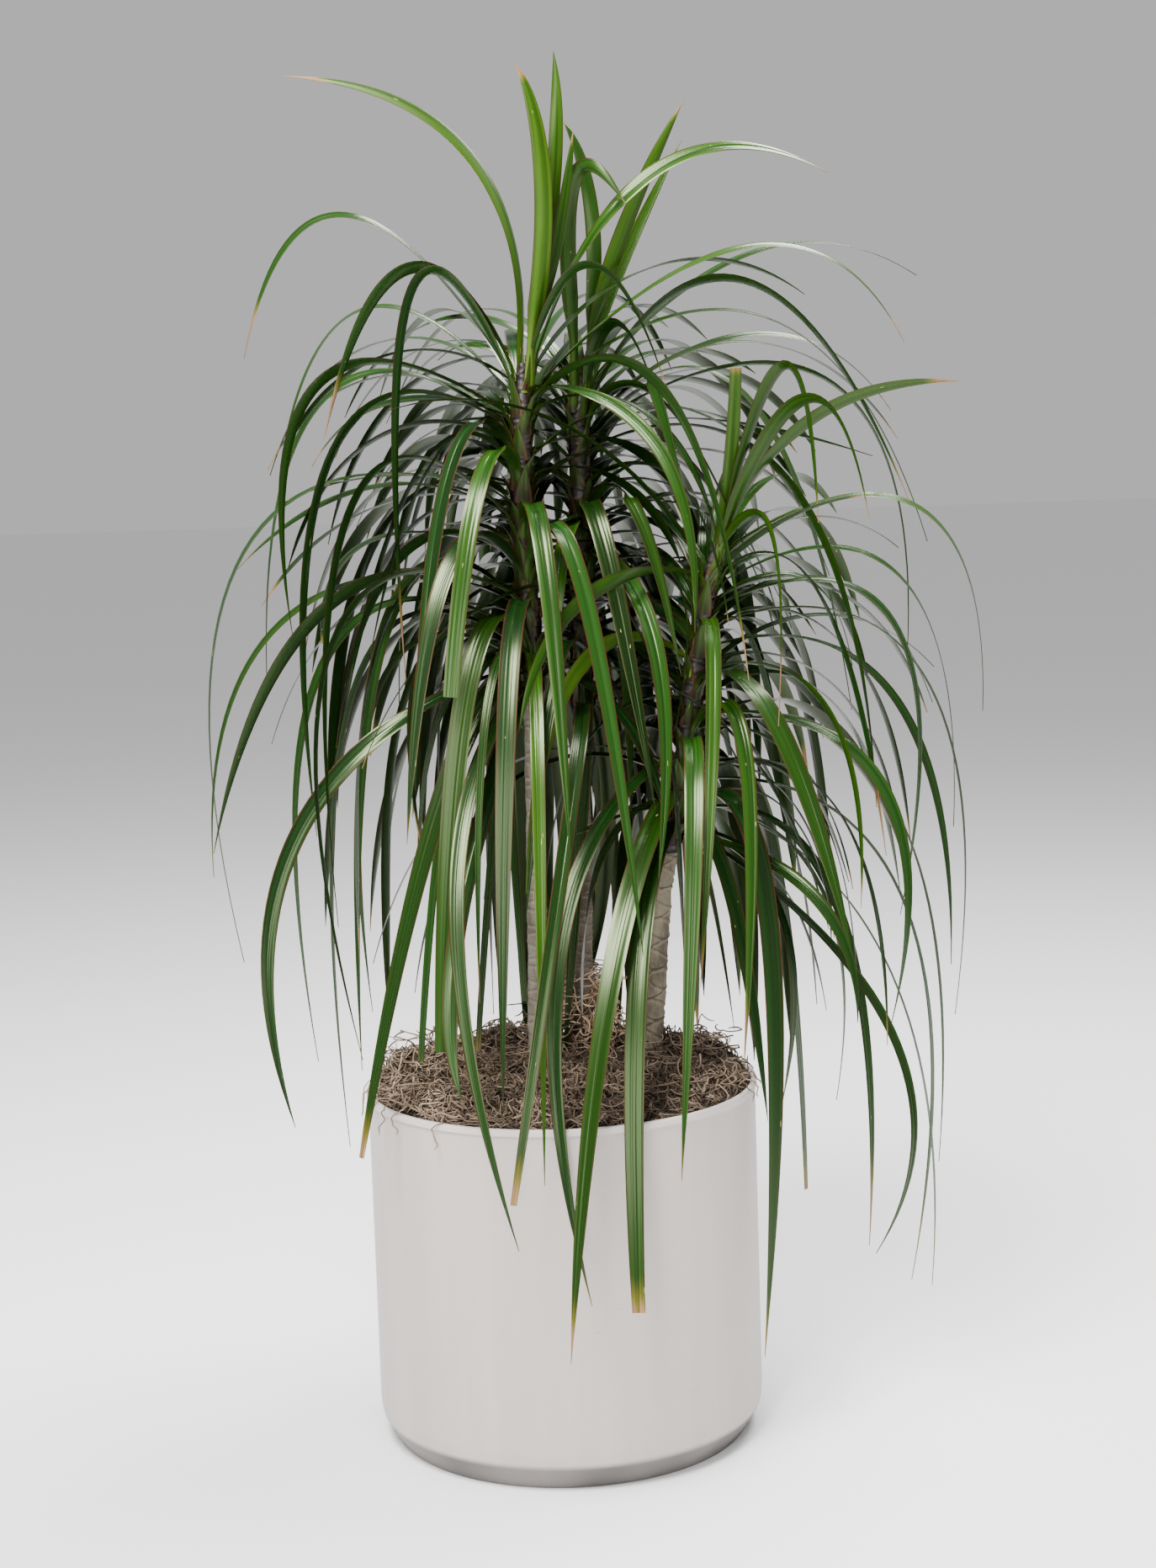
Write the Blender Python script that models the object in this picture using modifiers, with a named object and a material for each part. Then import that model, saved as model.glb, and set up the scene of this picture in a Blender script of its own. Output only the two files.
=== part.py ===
"""Potted dragon tree: three canes with arching strap leaves in a tall round planter.

Metres, +Z up. The origin is the middle of the pot's flat underside, and the
viewer's side is -Y. Run it with: blender --background --python part.py
"""

import math
import random
from collections import namedtuple

import bmesh
import bpy
from mathutils import Vector
from mathutils.bvhtree import BVHTree

CM = 0.01
GAP = 0.0003            # air left between pieces that touch

# Pot: a thin-walled, nearly straight cylinder with a bead at the rim and a chamfered foot
POT_RADIUS = 0.180
POT_FOOT_RADIUS = 0.178
POT_HEIGHT = 0.325
POT_WALL = 0.0055
POT_FLOOR = 0.010
BEAD_HEIGHT = 0.006
BEAD_PROUD = 0.0015
CHAMFER_HEIGHT = 0.024
CHAMFER_INSET = 0.016
EDGE_ROUND = 0.001
FOOT_ROUND = 0.003
INNER_CHAMFER_TOP = 0.028
INNER_FLOOR_RADIUS = 0.163
POT_SIDES = 60

# Soil and the mound of dry moss that dresses it
SOIL_TOP = 0.292
CANE_FOOT = 0.165       # height of the canes' lower ends, deep in the soil
MOSS_EDGE = 0.318       # height of the mound where it meets the pot's wall
MOSS_RISE = 0.010       # general crown of the mound above its edge
MOSS_RIPPLE = 0.0022
MOSS_RINGS = 7
MOSS_SECTORS = 36

# Canes and the leaf-bearing stems on top of them
CANE_RADIUS = 0.0088
CANE_FOOT_RADIUS = 0.0104
FOOT_TAPER = 1.6        # how soon up its length a cane has thinned to its own radius
HOLE_TOP = 0.42         # height above all of the mound, where the canes' holes end
CANE_STEP = 0.026       # spacing of the leaf-scar swellings
SCAR_SWELL = 0.035      # how much a swelling widens the cane, as a share of its radius
STEM_RADIUS = 0.0085
STEM_TIP_RADIUS = 0.0040
STEM_STEP = 0.040

# Leaf blades
BLADE_THICKNESS = 0.0008
SEEN_SEGMENTS = 6       # lengths in a blade of the table below
FILL_SEGMENTS = 4       # lengths in a blade of the growth rule
ARC_FULLNESS = 0.18     # how far an arc bulges on both sides of its bend
ROOT_SUNK = 0.0040      # how deep a blade's root lies below the stem's surface
ROOT_SHARE = 0.50       # blade width at the root, as a share of its full width
ROOT_FLARE = 3.0        # how fast that grows to the full width
TIP_WIDTH = 0.0012
FACE_EASE = 2.5         # how soon along its length a blade has turned to its facing
BEND_DEPTH_SHARE = 0.60  # how far towards the viewer the bend lies, as a share of the tip
BEHIND_SHARE = 0.4      # how much of its stem's place behind the axis a bend keeps
CLEARANCE = 0.0012      # air kept round a blade that passes another one
GOLDEN_ANGLE = math.radians(137.508)
GUIDE_SIDES = 10        # sides of the plain bars that leaves are tested against

# The eye that the sizes below are read from: a point is given where it appears, in
# centimetres across and up the upright plane through the pot's axis
EYE = Vector((0.024, -2.200, 0.861))

# A cane: its route as seen, how far it stands behind the pot's axis, and where its
# bare part ends and its leaves begin
Cane = namedtuple("Cane", "name route behind leafy_from")
CANES = (
    Cane("left", ((-2.4, 30), (-2.0, 38), (-1.7, 50), (-1.5, 62), (-1.4, 72), (-1.8, 82),
                  (-1.8, 90), (-1.3, 98)), 1.5, 68.0),
    Cane("middle", ((2.0, 30), (2.3, 38), (2.5, 50), (2.7, 60), (3.1, 70), (3.4, 80),
                    (3.5, 90), (3.8, 97)), 7.0, 65.5),
    Cane("right", ((8.2, 30), (8.8, 38), (9.8, 50), (11.6, 58), (12.9, 67), (14.2, 75),
                   (15.6, 81.5)), 3.0, 53.5),
)

# A tuft of the mound: across, behind the axis, height above the mound, half width
Tuft = namedtuple("Tuft", "x y rise spread")
TUFTS = (
    Tuft(-13.0, 5.0, 1.6, 5.0), Tuft(-6.0, 13.0, 2.0, 4.0), Tuft(2.4, 7.5, 4.6, 2.6),
    Tuft(9.0, 4.0, 2.2, 3.6), Tuft(14.0, 6.0, 1.9, 3.5), Tuft(-2.2, 1.5, 1.2, 2.4),
    Tuft(5.0, -9.0, 0.7, 4.0), Tuft(-8.0, -8.0, 0.5, 4.0),
)

# A leaf as seen: height of its root on the stem, the point where it bends away from the
# straight line between its ends, its tip, how far its tip stands towards the viewer, its
# full width, how squarely it faces the viewer (0 to 1), and the width left at a cut tip
Leaf = namedtuple("Leaf", "root bend_x bend_z tip_x tip_z toward width face cut", defaults=(0,))
LEAVES = {
    "left": (
        Leaf(97.5, 1.9, 113, 2.3, 125, -1, 1.4, 0.9), Leaf(96.8, 1.0, 113, -1.1, 124.2, 1, 1.5, 0.9),
        Leaf(97, 2.0, 108, 3.8, 118, -3, 1.1, 0.7), Leaf(95.5, -4.9, 115.6, -21.6, 123.6, -4, 1.2, 0.5),
        Leaf(96, -16.6, 111.4, -26.2, 99.2, -3, 1.1, 0.4),
        Leaf(96.5, -11.2, 106.6, -19.4, 91.7, 0, 1.3, 0.5), Leaf(95, -11.0, 104.6, -12.9, 69.8, 3, 1.3, 0.5),
        Leaf(94.5, -15, 103.3, -23.3, 90, -2, 1.1, 0.4), Leaf(93, -19.5, 96.9, -23, 74.5, 2, 1.2, 0.5),
        Leaf(92, -19, 95.6, -25.5, 71, -4, 1.0, 0.4), Leaf(84, -15, 87.5, -27.7, 80.5, -7, 0.9, 0.4),
        Leaf(86, -27, 82, -28.8, 44.5, -2, 1.0, 0.3), Leaf(78, -24, 75.5, -31.2, 52.5, -1, 0.9, 0.4),
        Leaf(77, -19.5, 77, -31.1, 54.7, 5, 1.5, 0.5), Leaf(71, -23.2, 56.5, -24.8, 28.8, 11, 1.5, 0.5),
        Leaf(83.5, -17, 86, -20, 47.5, 5, 1.2, 0.4), Leaf(90, -9.3, 90.0, -16, 72.5, 7, 1.5, 0.4),
        Leaf(89.2, -8.0, 89.3, -12.5, 60, 10, 1.6, 0.4), Leaf(88.4, -10.3, 89.6, -18.3, 68.5, 3, 1.5, 0.4),
        Leaf(92, -18.5, 90.8, -21.6, 56, 1, 1.2, 0.5), Leaf(93, -13, 95, -20.6, 89.4, -3, 1.3, 0.3),
        Leaf(88, -5.4, 88, -8.9, 68.3, 15, 1.5, 0.3, 0.8), Leaf(83.3, 0, 81.2, 1.5, 53, 15, 1.65, 0.3),
        Leaf(75.8, -3.7, 68.4, -5.5, 29.5, 20, 1.7, 0.3), Leaf(73, -7.2, 70, -10.9, 35.5, 12, 1.9, 0.4, 0.7),
        Leaf(69.9, -8.9, 47.5, -9.3, 31, 17, 1.7, 0.35),
        Leaf(70, -9.5, 60.5, -18.8, 25.7, 15, 1.9, 0.5, 0.25), Leaf(76, -14.4, 75, -18.4, 34, 3, 1.4, 0.6),
        Leaf(73, -11.2, 71.5, -11.8, 52.5, 7, 1.4, 0.5), Leaf(77, -19.4, 73.5, -18.3, 35, 6, 1.3, 0.5),
        Leaf(74, -20.4, 71.5, -22.4, 35, -3, 1.1, 0.5), Leaf(72, -17.5, 69.5, -19.8, 26.8, -8, 1.0, 0.5),
        Leaf(71, -15.2, 69.5, -17.2, 39.5, -4, 1.1, 0.5), Leaf(69.4, -9, 50.6, -4.5, 16.3, 22, 1.3, 0.4),
        Leaf(71.4, -1.2, 62.5, -1.9, 22.5, 21, 1.2, 0.4), Leaf(79.5, 3, 79.3, 7.9, 43.9, 14, 1.6, 0.3),
        Leaf(95.9, 10.3, 90.4, 13.4, 73.5, 11, 1.45, 0.5), Leaf(97, 5.0, 106.4, 11.5, 95.3, 5, 1.1, 0.4),
        Leaf(96, 10.6, 114.2, 26.3, 113.8, -3, 1.4, 0.5), Leaf(95, 19.3, 107.6, 32.8, 98.8, -5, 1.1, 0.3),
        Leaf(94, 20.5, 101.3, 34.6, 81, -8, 1.1, 0.3), Leaf(94, 11, 95.4, 18.2, 69, 13, 1.4, 0.5),
        Leaf(87, -14, 88.4, -23.6, 86.2, 1, 0.9, 0.3), Leaf(80, -12.6, 81.4, -19.5, 64, 9, 1.5, 0.4),
        Leaf(79, -8.6, 80.2, -13.4, 55, 12, 1.6, 0.4), Leaf(81, -15.6, 82.6, -20.2, 73.6, 6, 1.3, 0.3, 0.6),
        Leaf(70.3, -8, 66, -12.9, 34.7, 4, 1.05, 0.4, 0.6),
        Leaf(70.3, -4.1, 65.2, -7.6, 35.7, 2, 0.95, 0.4, 0.6),
        Leaf(71.6, -5.6, 67.5, -7.3, 40, 13, 0.8, 0.4), Leaf(69.8, -3.6, 65.8, -3.1, 40, 4, 0.85, 0.4, 0.7),
    ),
    "middle": (
        Leaf(66.7, 1.8, 58.8, -4.85, 20.7, 23, 1.3, 0.4, 0.4),
        Leaf(71.5, 0.6, 69.6, -2.8, 47.5, 13, 1.2, 0.4), Leaf(84.5, 1.6, 80.7, 1.1, 73.5, 7, 1.4, 0.4),
        Leaf(83, 5.4, 82.1, 9.4, 57.5, 6, 1.75, 0.5), Leaf(81.2, 9.7, 72.6, 9.5, 51, 12, 1.6, 0.4),
        Leaf(83.3, 7.9, 85.6, 12.1, 69.5, 4, 1.3, 0.4), Leaf(95, 3.6, 113.3, 8.3, 111.6, 0, 1.4, 0.9),
        Leaf(96, 5.3, 110, 3.0, 118.9, -6, 1.3, 0.8), Leaf(96.4, 7.3, 107.6, 13.6, 120.4, -5, 1.5, 0.8),
        Leaf(95.6, 7.2, 105, 13.4, 117, -9, 1.2, 0.7), Leaf(93.5, 18.6, 104.6, 33, 84.7, -6, 1.3, 0.4),
        Leaf(95, 19.2, 107, 34, 104.6, -12, 0.9, 0.3), Leaf(93, 20, 99.9, 31.5, 92.8, -10, 0.9, 0.3),
        Leaf(92, 26.5, 95.2, 32.6, 70.5, -8, 0.9, 0.3), Leaf(91.5, 18.5, 94.5, 27.5, 66, -10, 1.2, 0.3),
        Leaf(91, 14, 92.6, 29.8, 88.8, -9, 0.9, 0.2), Leaf(92, 10.4, 94.8, 18.5, 80, -1, 1.5, 0.4),
        Leaf(94, 7.9, 100.7, 13, 84, 0, 1.6, 0.4), Leaf(87, 12.1, 87.2, 16.5, 74, 5, 1.4, 0.4),
        Leaf(90, 22, 87, 29.6, 57, 0, 1.4, 0.3), Leaf(68.9, 4.9, 54.4, 0.4, 35.5, -13, 1.4, 0.4),
        Leaf(93, -3.6, 99.2, -8.9, 98.5, -10, 1.0, 0.3), Leaf(78, 6.5, 78.4, 7.2, 57, -2, 1.7, 0.4),
        Leaf(69, 6.2, 68.4, 11.5, 60.5, -14, 1.5, 0.2), Leaf(79.3, 11.8, 78.4, 11.4, 64.8, 3, 1.1, 0.4),
        Leaf(69, 3.1, 63.2, 0.4, 35, -6, 1.4, 0.4, 0.2),
    ),
    "right": (
        Leaf(80.4, 17.0, 88.5, 17.7, 97, -1, 1.2, 0.9, 0.8), Leaf(80, 21.9, 97, 24.8, 83, 1, 1.4, 0.5),
        Leaf(79, 23.4, 91.6, 37.8, 95.2, 3, 1.3, 0.6), Leaf(80, 23.7, 94, 29.4, 83.2, 5, 1.4, 0.5),
        Leaf(80.2, 20.4, 82.6, 20.8, 64.7, 8, 1.2, 0.5), Leaf(77.5, 32, 78, 36.6, 55, -4, 0.9, 0.3),
        Leaf(80.6, 34, 84, 39.4, 65.5, -8, 1.0, 0.3), Leaf(78.5, 21.5, 83.2, 29, 85.3, 4, 0.9, 0.3),
        Leaf(78, 24.5, 77, 30.4, 52.5, 4, 1.2, 0.4), Leaf(70, 25, 66.5, 28, 47.7, 9, 1.2, 0.5),
        Leaf(75.5, 31.4, 73.8, 31.6, 47, 3, 1.2, 0.4), Leaf(72, 31, 67.5, 36.2, 42.2, 0, 1.2, 0.4),
        Leaf(74, 34, 69, 36.5, 37.5, -7, 0.9, 0.3), Leaf(61, 25.7, 57.3, 30.2, 34.8, 10, 1.4, 0.4),
        Leaf(60, 23, 58.9, 27.5, 41, 6, 1.3, 0.3), Leaf(69, 20.3, 65.5, 27.2, 43, 11, 1.9, 0.4),
        Leaf(58, 21, 57.3, 25.5, 45, 3, 1.3, 0.3), Leaf(57, 25.4, 49, 28.2, 15.8, 6, 1.3, 0.4),
        Leaf(55, 23.4, 49.3, 27.5, 37, 10, 1.3, 0.4), Leaf(58.5, 30, 43, 34, 11.8, -6, 1.0, 0.3),
        Leaf(65, 31.2, 57, 34.8, 23.6, -2, 0.9, 0.3), Leaf(56, 30.6, 36, 28.8, 15, 8, 1.1, 0.4),
        Leaf(60, 31.6, 49, 32.1, 12.4, 1, 1.0, 0.3), Leaf(57.5, 19.2, 49.6, 18.2, 5.3, 9, 1.8, 0.5),
        Leaf(64, 17.6, 63, 16.9, 33.2, 12, 1.4, 0.4), Leaf(73.6, 15, 69, 13.1, 40.8, 14, 1.35, 0.4),
        Leaf(60.9, 13, 58.6, 10.85, 22.5, 20, 1.65, 0.3), Leaf(59.4, 5.2, 43.3, 0, 5.3, 23, 1.9, 0.4),
        Leaf(56.4, 7.5, 43.4, 6.5, 10, 22, 1.75, 0.4, 0.6), Leaf(62.5, 0.5, 46.1, 2.15, 10.8, 20, 1.5, 0.4),
        Leaf(58, 6.3, 57, 2.1, 55.4, 3, 0.9, 0.3), Leaf(54.8, 13.5, 53.2, 16.1, 36.8, -5, 0.7, 0.3),
        Leaf(55.5, 20.6, 47.5, 20.3, 29.4, -3, 1.2, 0.4),
        Leaf(57.6, 19.4, 56.6, 22.4, 21.4, -7, 1.4, 0.5, 0.4), Leaf(58, 24.2, 50, 25.4, 29.8, -8, 0.8, 0.3),
        Leaf(66, 29.8, 59.5, 30.6, 36.8, 5, 1.3, 0.4), Leaf(78.5, 3.6, 76.9, -2.8, 65, 12, 1.3, 0.4),
        Leaf(71, 18.6, 72.3, 22.5, 50, -5, 1.3, 0.4), Leaf(64, 17.6, 62.6, 20.6, 44, -6, 1.4, 0.4),
        Leaf(76, 23.5, 78, 27.6, 70, -6, 1.4, 0.3), Leaf(54.4, 15.5, 51.6, 19, 28, 5, 1.6, 0.4),
    ),
}

# Leaves that the ones above don't account for, placed round each stem by growth rule
FILL_COUNTS = {"left": 19, "middle": 26, "right": 19}
FILL_SEEDS = {"left": 1100, "middle": 2300, "right": 3700}
FILL_TRIES = 60
FILL_FIRST_LOOSENESS = 0.25         # how freely the first try of a leaf is turned, of the last
FILL_SPREAD = math.radians(24)      # how far a try may turn a leaf out of its place
FILL_TILT = (-16, 10)               # how far a try may tilt its launch, in degrees
FILL_SIDEWAYS = 0.55                # how far the leaves spread sideways, where most are listed
FILL_FORWARD = -0.3                 # how far forward they may point, where 0 is sideways and
                                    # -1 ahead; the others go to the back instead
FILL_LAUNCH = (24.0, 58.0)          # degrees above level, lowest leaf to topmost
FILL_DROOP = (8.0, 6.0)             # turn for each metre of level run, lowest to topmost
FILL_LENGTH = (0.44, 0.34)
FILL_WIDTH = (0.016, 0.013)
FILL_TWIST = 0.6
FILL_LOW, FILL_HIGH = 1.5, 1.0      # bare length at the two ends of a stem, in cm
FILL_CENTRE = (4.0, 70.0)           # the oval, as seen and in cm, that these leaves stay in
FILL_HALF = (32.0, 43.0)

# Sideways moves along the line of sight that a leaf may take to pass its neighbours, in cm,
# and the shares of such a move that its bend may take
SIDESTEPS = (0, 1.5, -1.5, 3, -3, 4.5, -4.5, 6, -6, 8, -8, 10, -10, 12, 14)
BEND_SHARES = (1.0, 0.4, 0.0)

# Principled colours (linear), roughness and metallic
FINISHES = {
    "pot": ((0.600, 0.575, 0.545), 0.62, 0.0),
    "soil": ((0.050, 0.034, 0.024), 0.95, 0.0),
    "moss": ((0.150, 0.115, 0.090), 0.95, 0.0),
    "cane": ((0.330, 0.285, 0.235), 0.85, 0.0),
    "crown": ((0.030, 0.095, 0.022), 0.38, 0.0),
}


def sighted(across, up, toward):
    """The point seen at (across, up) on the plane through the axis, moved towards the eye; cm."""
    seen = Vector((across * CM, 0, up * CM))
    return seen + (EYE - seen) * (toward * CM / -EYE.y)


def finish(kind):
    """The Principled material of one kind of piece."""
    material = bpy.data.materials.get(kind)
    if material is None:
        colour, roughness, metallic = FINISHES[kind]
        material = bpy.data.materials.new(kind)
        material.use_nodes = True
        shader = material.node_tree.nodes["Principled BSDF"]
        shader.inputs["Base Color"].default_value = (*colour, 1)
        shader.inputs["Roughness"].default_value = roughness
        shader.inputs["Metallic"].default_value = metallic
        material.diffuse_color = (*colour, 1)
    return material


def add_mesh(name, verts, faces, collection, kind=None):
    """A new object from points and faces."""
    mesh = bpy.data.meshes.new(name)
    mesh.from_pydata([tuple(v) for v in verts], [], faces)
    mesh.validate()
    if kind:
        mesh.materials.append(finish(kind))
    piece = bpy.data.objects.new(name, mesh)
    collection.objects.link(piece)
    return piece


def solid_mesh(piece, name):
    """A plain mesh of an object as its modifiers or its curve make it, with caps welded."""
    depsgraph = bpy.context.evaluated_depsgraph_get()
    mesh = bpy.data.meshes.new_from_object(piece.evaluated_get(depsgraph))
    mesh.name = name
    made = bmesh.new()
    made.from_mesh(mesh)
    bmesh.ops.remove_doubles(made, verts=made.verts, dist=0.00001)
    bmesh.ops.recalc_face_normals(made, faces=made.faces)
    made.to_mesh(mesh)
    made.free()
    return mesh


def add_tube(name, points, radii, collection, kind=None):
    """A closed round bar along points, with its own radius at each."""
    curve = bpy.data.curves.new(name, "CURVE")
    curve.dimensions = "3D"
    curve.bevel_depth = 1.0
    curve.bevel_resolution = 2
    curve.use_fill_caps = True
    spline = curve.splines.new("POLY")
    spline.points.add(len(points) - 1)
    for slot, point, radius in zip(spline.points, points, radii):
        slot.co = (*point, 1)
        slot.radius = radius
    bar = bpy.data.objects.new(name, curve)
    collection.objects.link(bar)
    bpy.context.view_layer.update()
    mesh = solid_mesh(bar, name)
    if kind:
        mesh.materials.append(finish(kind))
    piece = bpy.data.objects.new(name, mesh)
    piece.matrix_world = bar.matrix_world
    collection.objects.link(piece)
    bpy.data.objects.remove(bar)
    piece.name = name
    return piece


def cut(piece, cutter):
    """Cut one object out of another."""
    cutter.hide_render = True
    cutter.display_type = "WIRE"
    hole = piece.modifiers.new(cutter.name, "BOOLEAN")
    hole.operation = "DIFFERENCE"
    hole.object = cutter


def smooth(piece, degrees=40):
    piece.data.shade_smooth()
    piece.data.set_sharp_from_angle(angle=math.radians(degrees))


def turned(name, profile, collection, kind):
    """A turned solid from a profile of (radius, height), inside first and down the outside."""
    verts = [(radius, 0, height) for radius, height in profile]
    edges = [(i, i + 1) for i in range(len(verts) - 1)]
    mesh = bpy.data.meshes.new(name)
    mesh.from_pydata(verts, edges, [])
    mesh.materials.append(finish(kind))
    piece = bpy.data.objects.new(name, mesh)
    collection.objects.link(piece)
    screw = piece.modifiers.new("turn", "SCREW")
    screw.axis = "Z"
    screw.steps = POT_SIDES
    screw.render_steps = POT_SIDES
    screw.use_merge_vertices = True
    screw.merge_threshold = 0.0001
    screw.use_smooth_shade = True
    return piece


def pot_radius(height):
    """Outer radius of the pot's wall at a height."""
    share = height / POT_HEIGHT
    return POT_FOOT_RADIUS + (POT_RADIUS - POT_FOOT_RADIUS) * share


def add_pot(collection):
    inner_rim = POT_RADIUS - POT_WALL
    foot = POT_FOOT_RADIUS - CHAMFER_INSET
    body = pot_radius(CHAMFER_HEIGHT)
    profile = [
        (0, POT_FLOOR),
        (INNER_FLOOR_RADIUS, POT_FLOOR),
        (body - POT_WALL, INNER_CHAMFER_TOP),
        (inner_rim, POT_HEIGHT - EDGE_ROUND),
        (inner_rim + EDGE_ROUND, POT_HEIGHT),
        (POT_RADIUS - EDGE_ROUND, POT_HEIGHT),
        (POT_RADIUS, POT_HEIGHT - EDGE_ROUND),
        (POT_RADIUS, POT_HEIGHT - BEAD_HEIGHT),
        (POT_RADIUS - BEAD_PROUD, POT_HEIGHT - BEAD_HEIGHT - EDGE_ROUND),
        (body, CHAMFER_HEIGHT + 3 * EDGE_ROUND),
        (body - EDGE_ROUND, CHAMFER_HEIGHT),
        (foot + FOOT_ROUND, FOOT_ROUND),
        (foot, 0),
        (0, 0),
    ]
    return turned("pot", profile, collection, "pot")


def pot_inside(height):
    """Inner radius of the pot at a height above its chamfer."""
    start = pot_radius(CHAMFER_HEIGHT) - POT_WALL
    end = POT_RADIUS - POT_WALL
    share = (height - INNER_CHAMFER_TOP) / (POT_HEIGHT - EDGE_ROUND - INNER_CHAMFER_TOP)
    return start + (end - start) * share


def add_soil(collection, cutters):
    floor = POT_FLOOR + GAP
    shoulder = INNER_CHAMFER_TOP + 0.002
    floor_radius = INNER_FLOOR_RADIUS - 2 * GAP
    profile = [
        (0, SOIL_TOP),
        (pot_inside(SOIL_TOP) - 2 * GAP, SOIL_TOP),
        (pot_inside(shoulder) - 2 * GAP, shoulder),
        (floor_radius, floor),
        (0, floor),
    ]
    soil = turned("soil", profile, collection, "soil")
    for cutter in cutters:
        cut(soil, cutter)
    return soil


def moss_height(x, y):
    """Height of the mound's lumpy top at a place."""
    edge = pot_inside(MOSS_EDGE)
    share = min(1.0, math.hypot(x, y) / edge)
    height = MOSS_EDGE + MOSS_RISE * (1 - share ** 2)
    for tuft in TUFTS:
        away = math.hypot(x - tuft.x * CM, y - tuft.y * CM) / (tuft.spread * CM)
        height += tuft.rise * CM * math.exp(-away ** 2)
    ripple = math.cos(x * 160 + 1) * math.cos(y * 140) + 0.6 * math.cos(x * 290 + y * 260)
    return height + MOSS_RIPPLE * ripple * (1 - share ** 4)


def moss_skin():
    """Corners and faces of the mound, top and underside."""
    edge = pot_inside(MOSS_EDGE) - 2 * GAP
    low_edge = pot_inside(SOIL_TOP) - 3 * GAP
    base = SOIL_TOP + GAP
    verts = [Vector((0, 0, moss_height(0, 0)))]
    for ring in range(1, MOSS_RINGS + 1):
        radius = edge * ring / MOSS_RINGS
        for sector in range(MOSS_SECTORS):
            angle = math.tau * (sector + 0.5 * (ring % 2)) / MOSS_SECTORS
            x, y = radius * math.cos(angle), radius * math.sin(angle)
            verts.append(Vector((x, y, moss_height(x, y))))
    lowest = len(verts)
    for sector in range(MOSS_SECTORS):
        angle = math.tau * (sector + 0.5 * (MOSS_RINGS % 2)) / MOSS_SECTORS
        verts.append(Vector((low_edge * math.cos(angle), low_edge * math.sin(angle), base)))
    faces = [(0, 1 + s, 1 + (s + 1) % MOSS_SECTORS) for s in range(MOSS_SECTORS)]
    for ring in range(1, MOSS_RINGS):
        inner = 1 + (ring - 1) * MOSS_SECTORS
        outer = inner + MOSS_SECTORS
        lead = ring % 2
        for s in range(MOSS_SECTORS):
            after = (s + 1) % MOSS_SECTORS
            if lead:
                faces += [(inner + s, outer + s, outer + after),
                          (inner + s, outer + after, inner + after)]
            else:
                faces += [(inner + s, outer + s, inner + after),
                          (outer + s, outer + after, inner + after)]
    top = lowest - MOSS_SECTORS
    for s in range(MOSS_SECTORS):
        after = (s + 1) % MOSS_SECTORS
        faces += [(top + s, lowest + s, lowest + after), (top + s, lowest + after, top + after)]
    faces.append(tuple(lowest + s for s in reversed(range(MOSS_SECTORS))))
    return verts, faces


def add_moss(collection, cutters):
    moss = add_mesh("moss", *moss_skin(), collection, "moss")
    for cutter in cutters:
        cut(moss, cutter)
    return moss


def along(route, behind, height):
    """The point of a cane's axis that is seen at a height."""
    for (x0, z0), (x1, z1) in zip(route, route[1:]):
        if height <= z1 or (x1, z1) == route[-1]:
            share = (height - z0) / (z1 - z0)
            return sighted(x0 + (x1 - x0) * share, height, -behind)


def cane_points(cane, low, high, step):
    """Points along a cane between two seen heights, about a step apart."""
    count = max(2, round((high - low) * CM / step))
    return [along(cane.route, cane.behind, low + (high - low) * i / count) for i in range(count + 1)]


def cane_line(cane):
    """Points and radii of a bare cane from its foot in the soil, with its scar swellings."""
    start = cane.route[0][1]
    points = cane_points(cane, start, cane.leafy_from, CANE_STEP / 2)
    foot = Vector((points[0].x, points[0].y, CANE_FOOT))
    points.insert(0, foot)
    top = points[-1].z
    radii = []
    for number, point in enumerate(points):
        share = (point.z - foot.z) / (top - foot.z)
        plain = CANE_FOOT_RADIUS + (CANE_RADIUS - CANE_FOOT_RADIUS) * min(1, share * FOOT_TAPER)
        swell = SCAR_SWELL if number % 2 else -SCAR_SWELL
        radii.append(plain * (1 + (swell if 1 < number < len(points) - 1 else 0)))
    return points, radii


def stem_line(cane):
    """Points and radii of the leaf-bearing stem that stands on a cane."""
    high = cane.route[-1][1]
    points = cane_points(cane, cane.leafy_from, high, STEM_STEP)
    points[0] = points[0] + (points[1] - points[0]).normalized() * GAP
    radii = [STEM_RADIUS] * (len(points) - 1) + [STEM_TIP_RADIUS]
    return points, radii


def add_cane(cane, collection, cutters):
    """A bare cane, and the cutter of its hole in soil and moss."""
    points, radii = cane_line(cane)
    bar = add_tube("cane_" + cane.name, points, radii, collection, "cane")
    smooth(bar, 60)
    buried = [(p, r + GAP) for p, r in zip(points, radii) if p.z < HOLE_TOP]
    hole_points = [buried[0][0] - Vector((0, 0, GAP))] + [p for p, r in buried[1:]]
    cutter = add_tube("hole_" + cane.name, hole_points, [r for p, r in buried], cutters)
    return bar, cutter


def add_stem(cane, collection):
    points, radii = stem_line(cane)
    return add_tube("crown_" + cane.name, points, radii, collection, "crown")


def arc(root, bend, tip, count):
    """Points of a smooth arc from root to tip that passes the bend half way."""
    elbow = (bend * 8 - root - tip) / 6
    leave = elbow + (root - tip) * ARC_FULLNESS
    arrive = elbow - (root - tip) * ARC_FULLNESS
    points = []
    for i in range(count + 1):
        t = i / count
        s = 1 - t
        points.append(root * s ** 3 + leave * 3 * s * s * t + arrive * 3 * s * t * t + tip * t ** 3)
    return points


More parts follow.
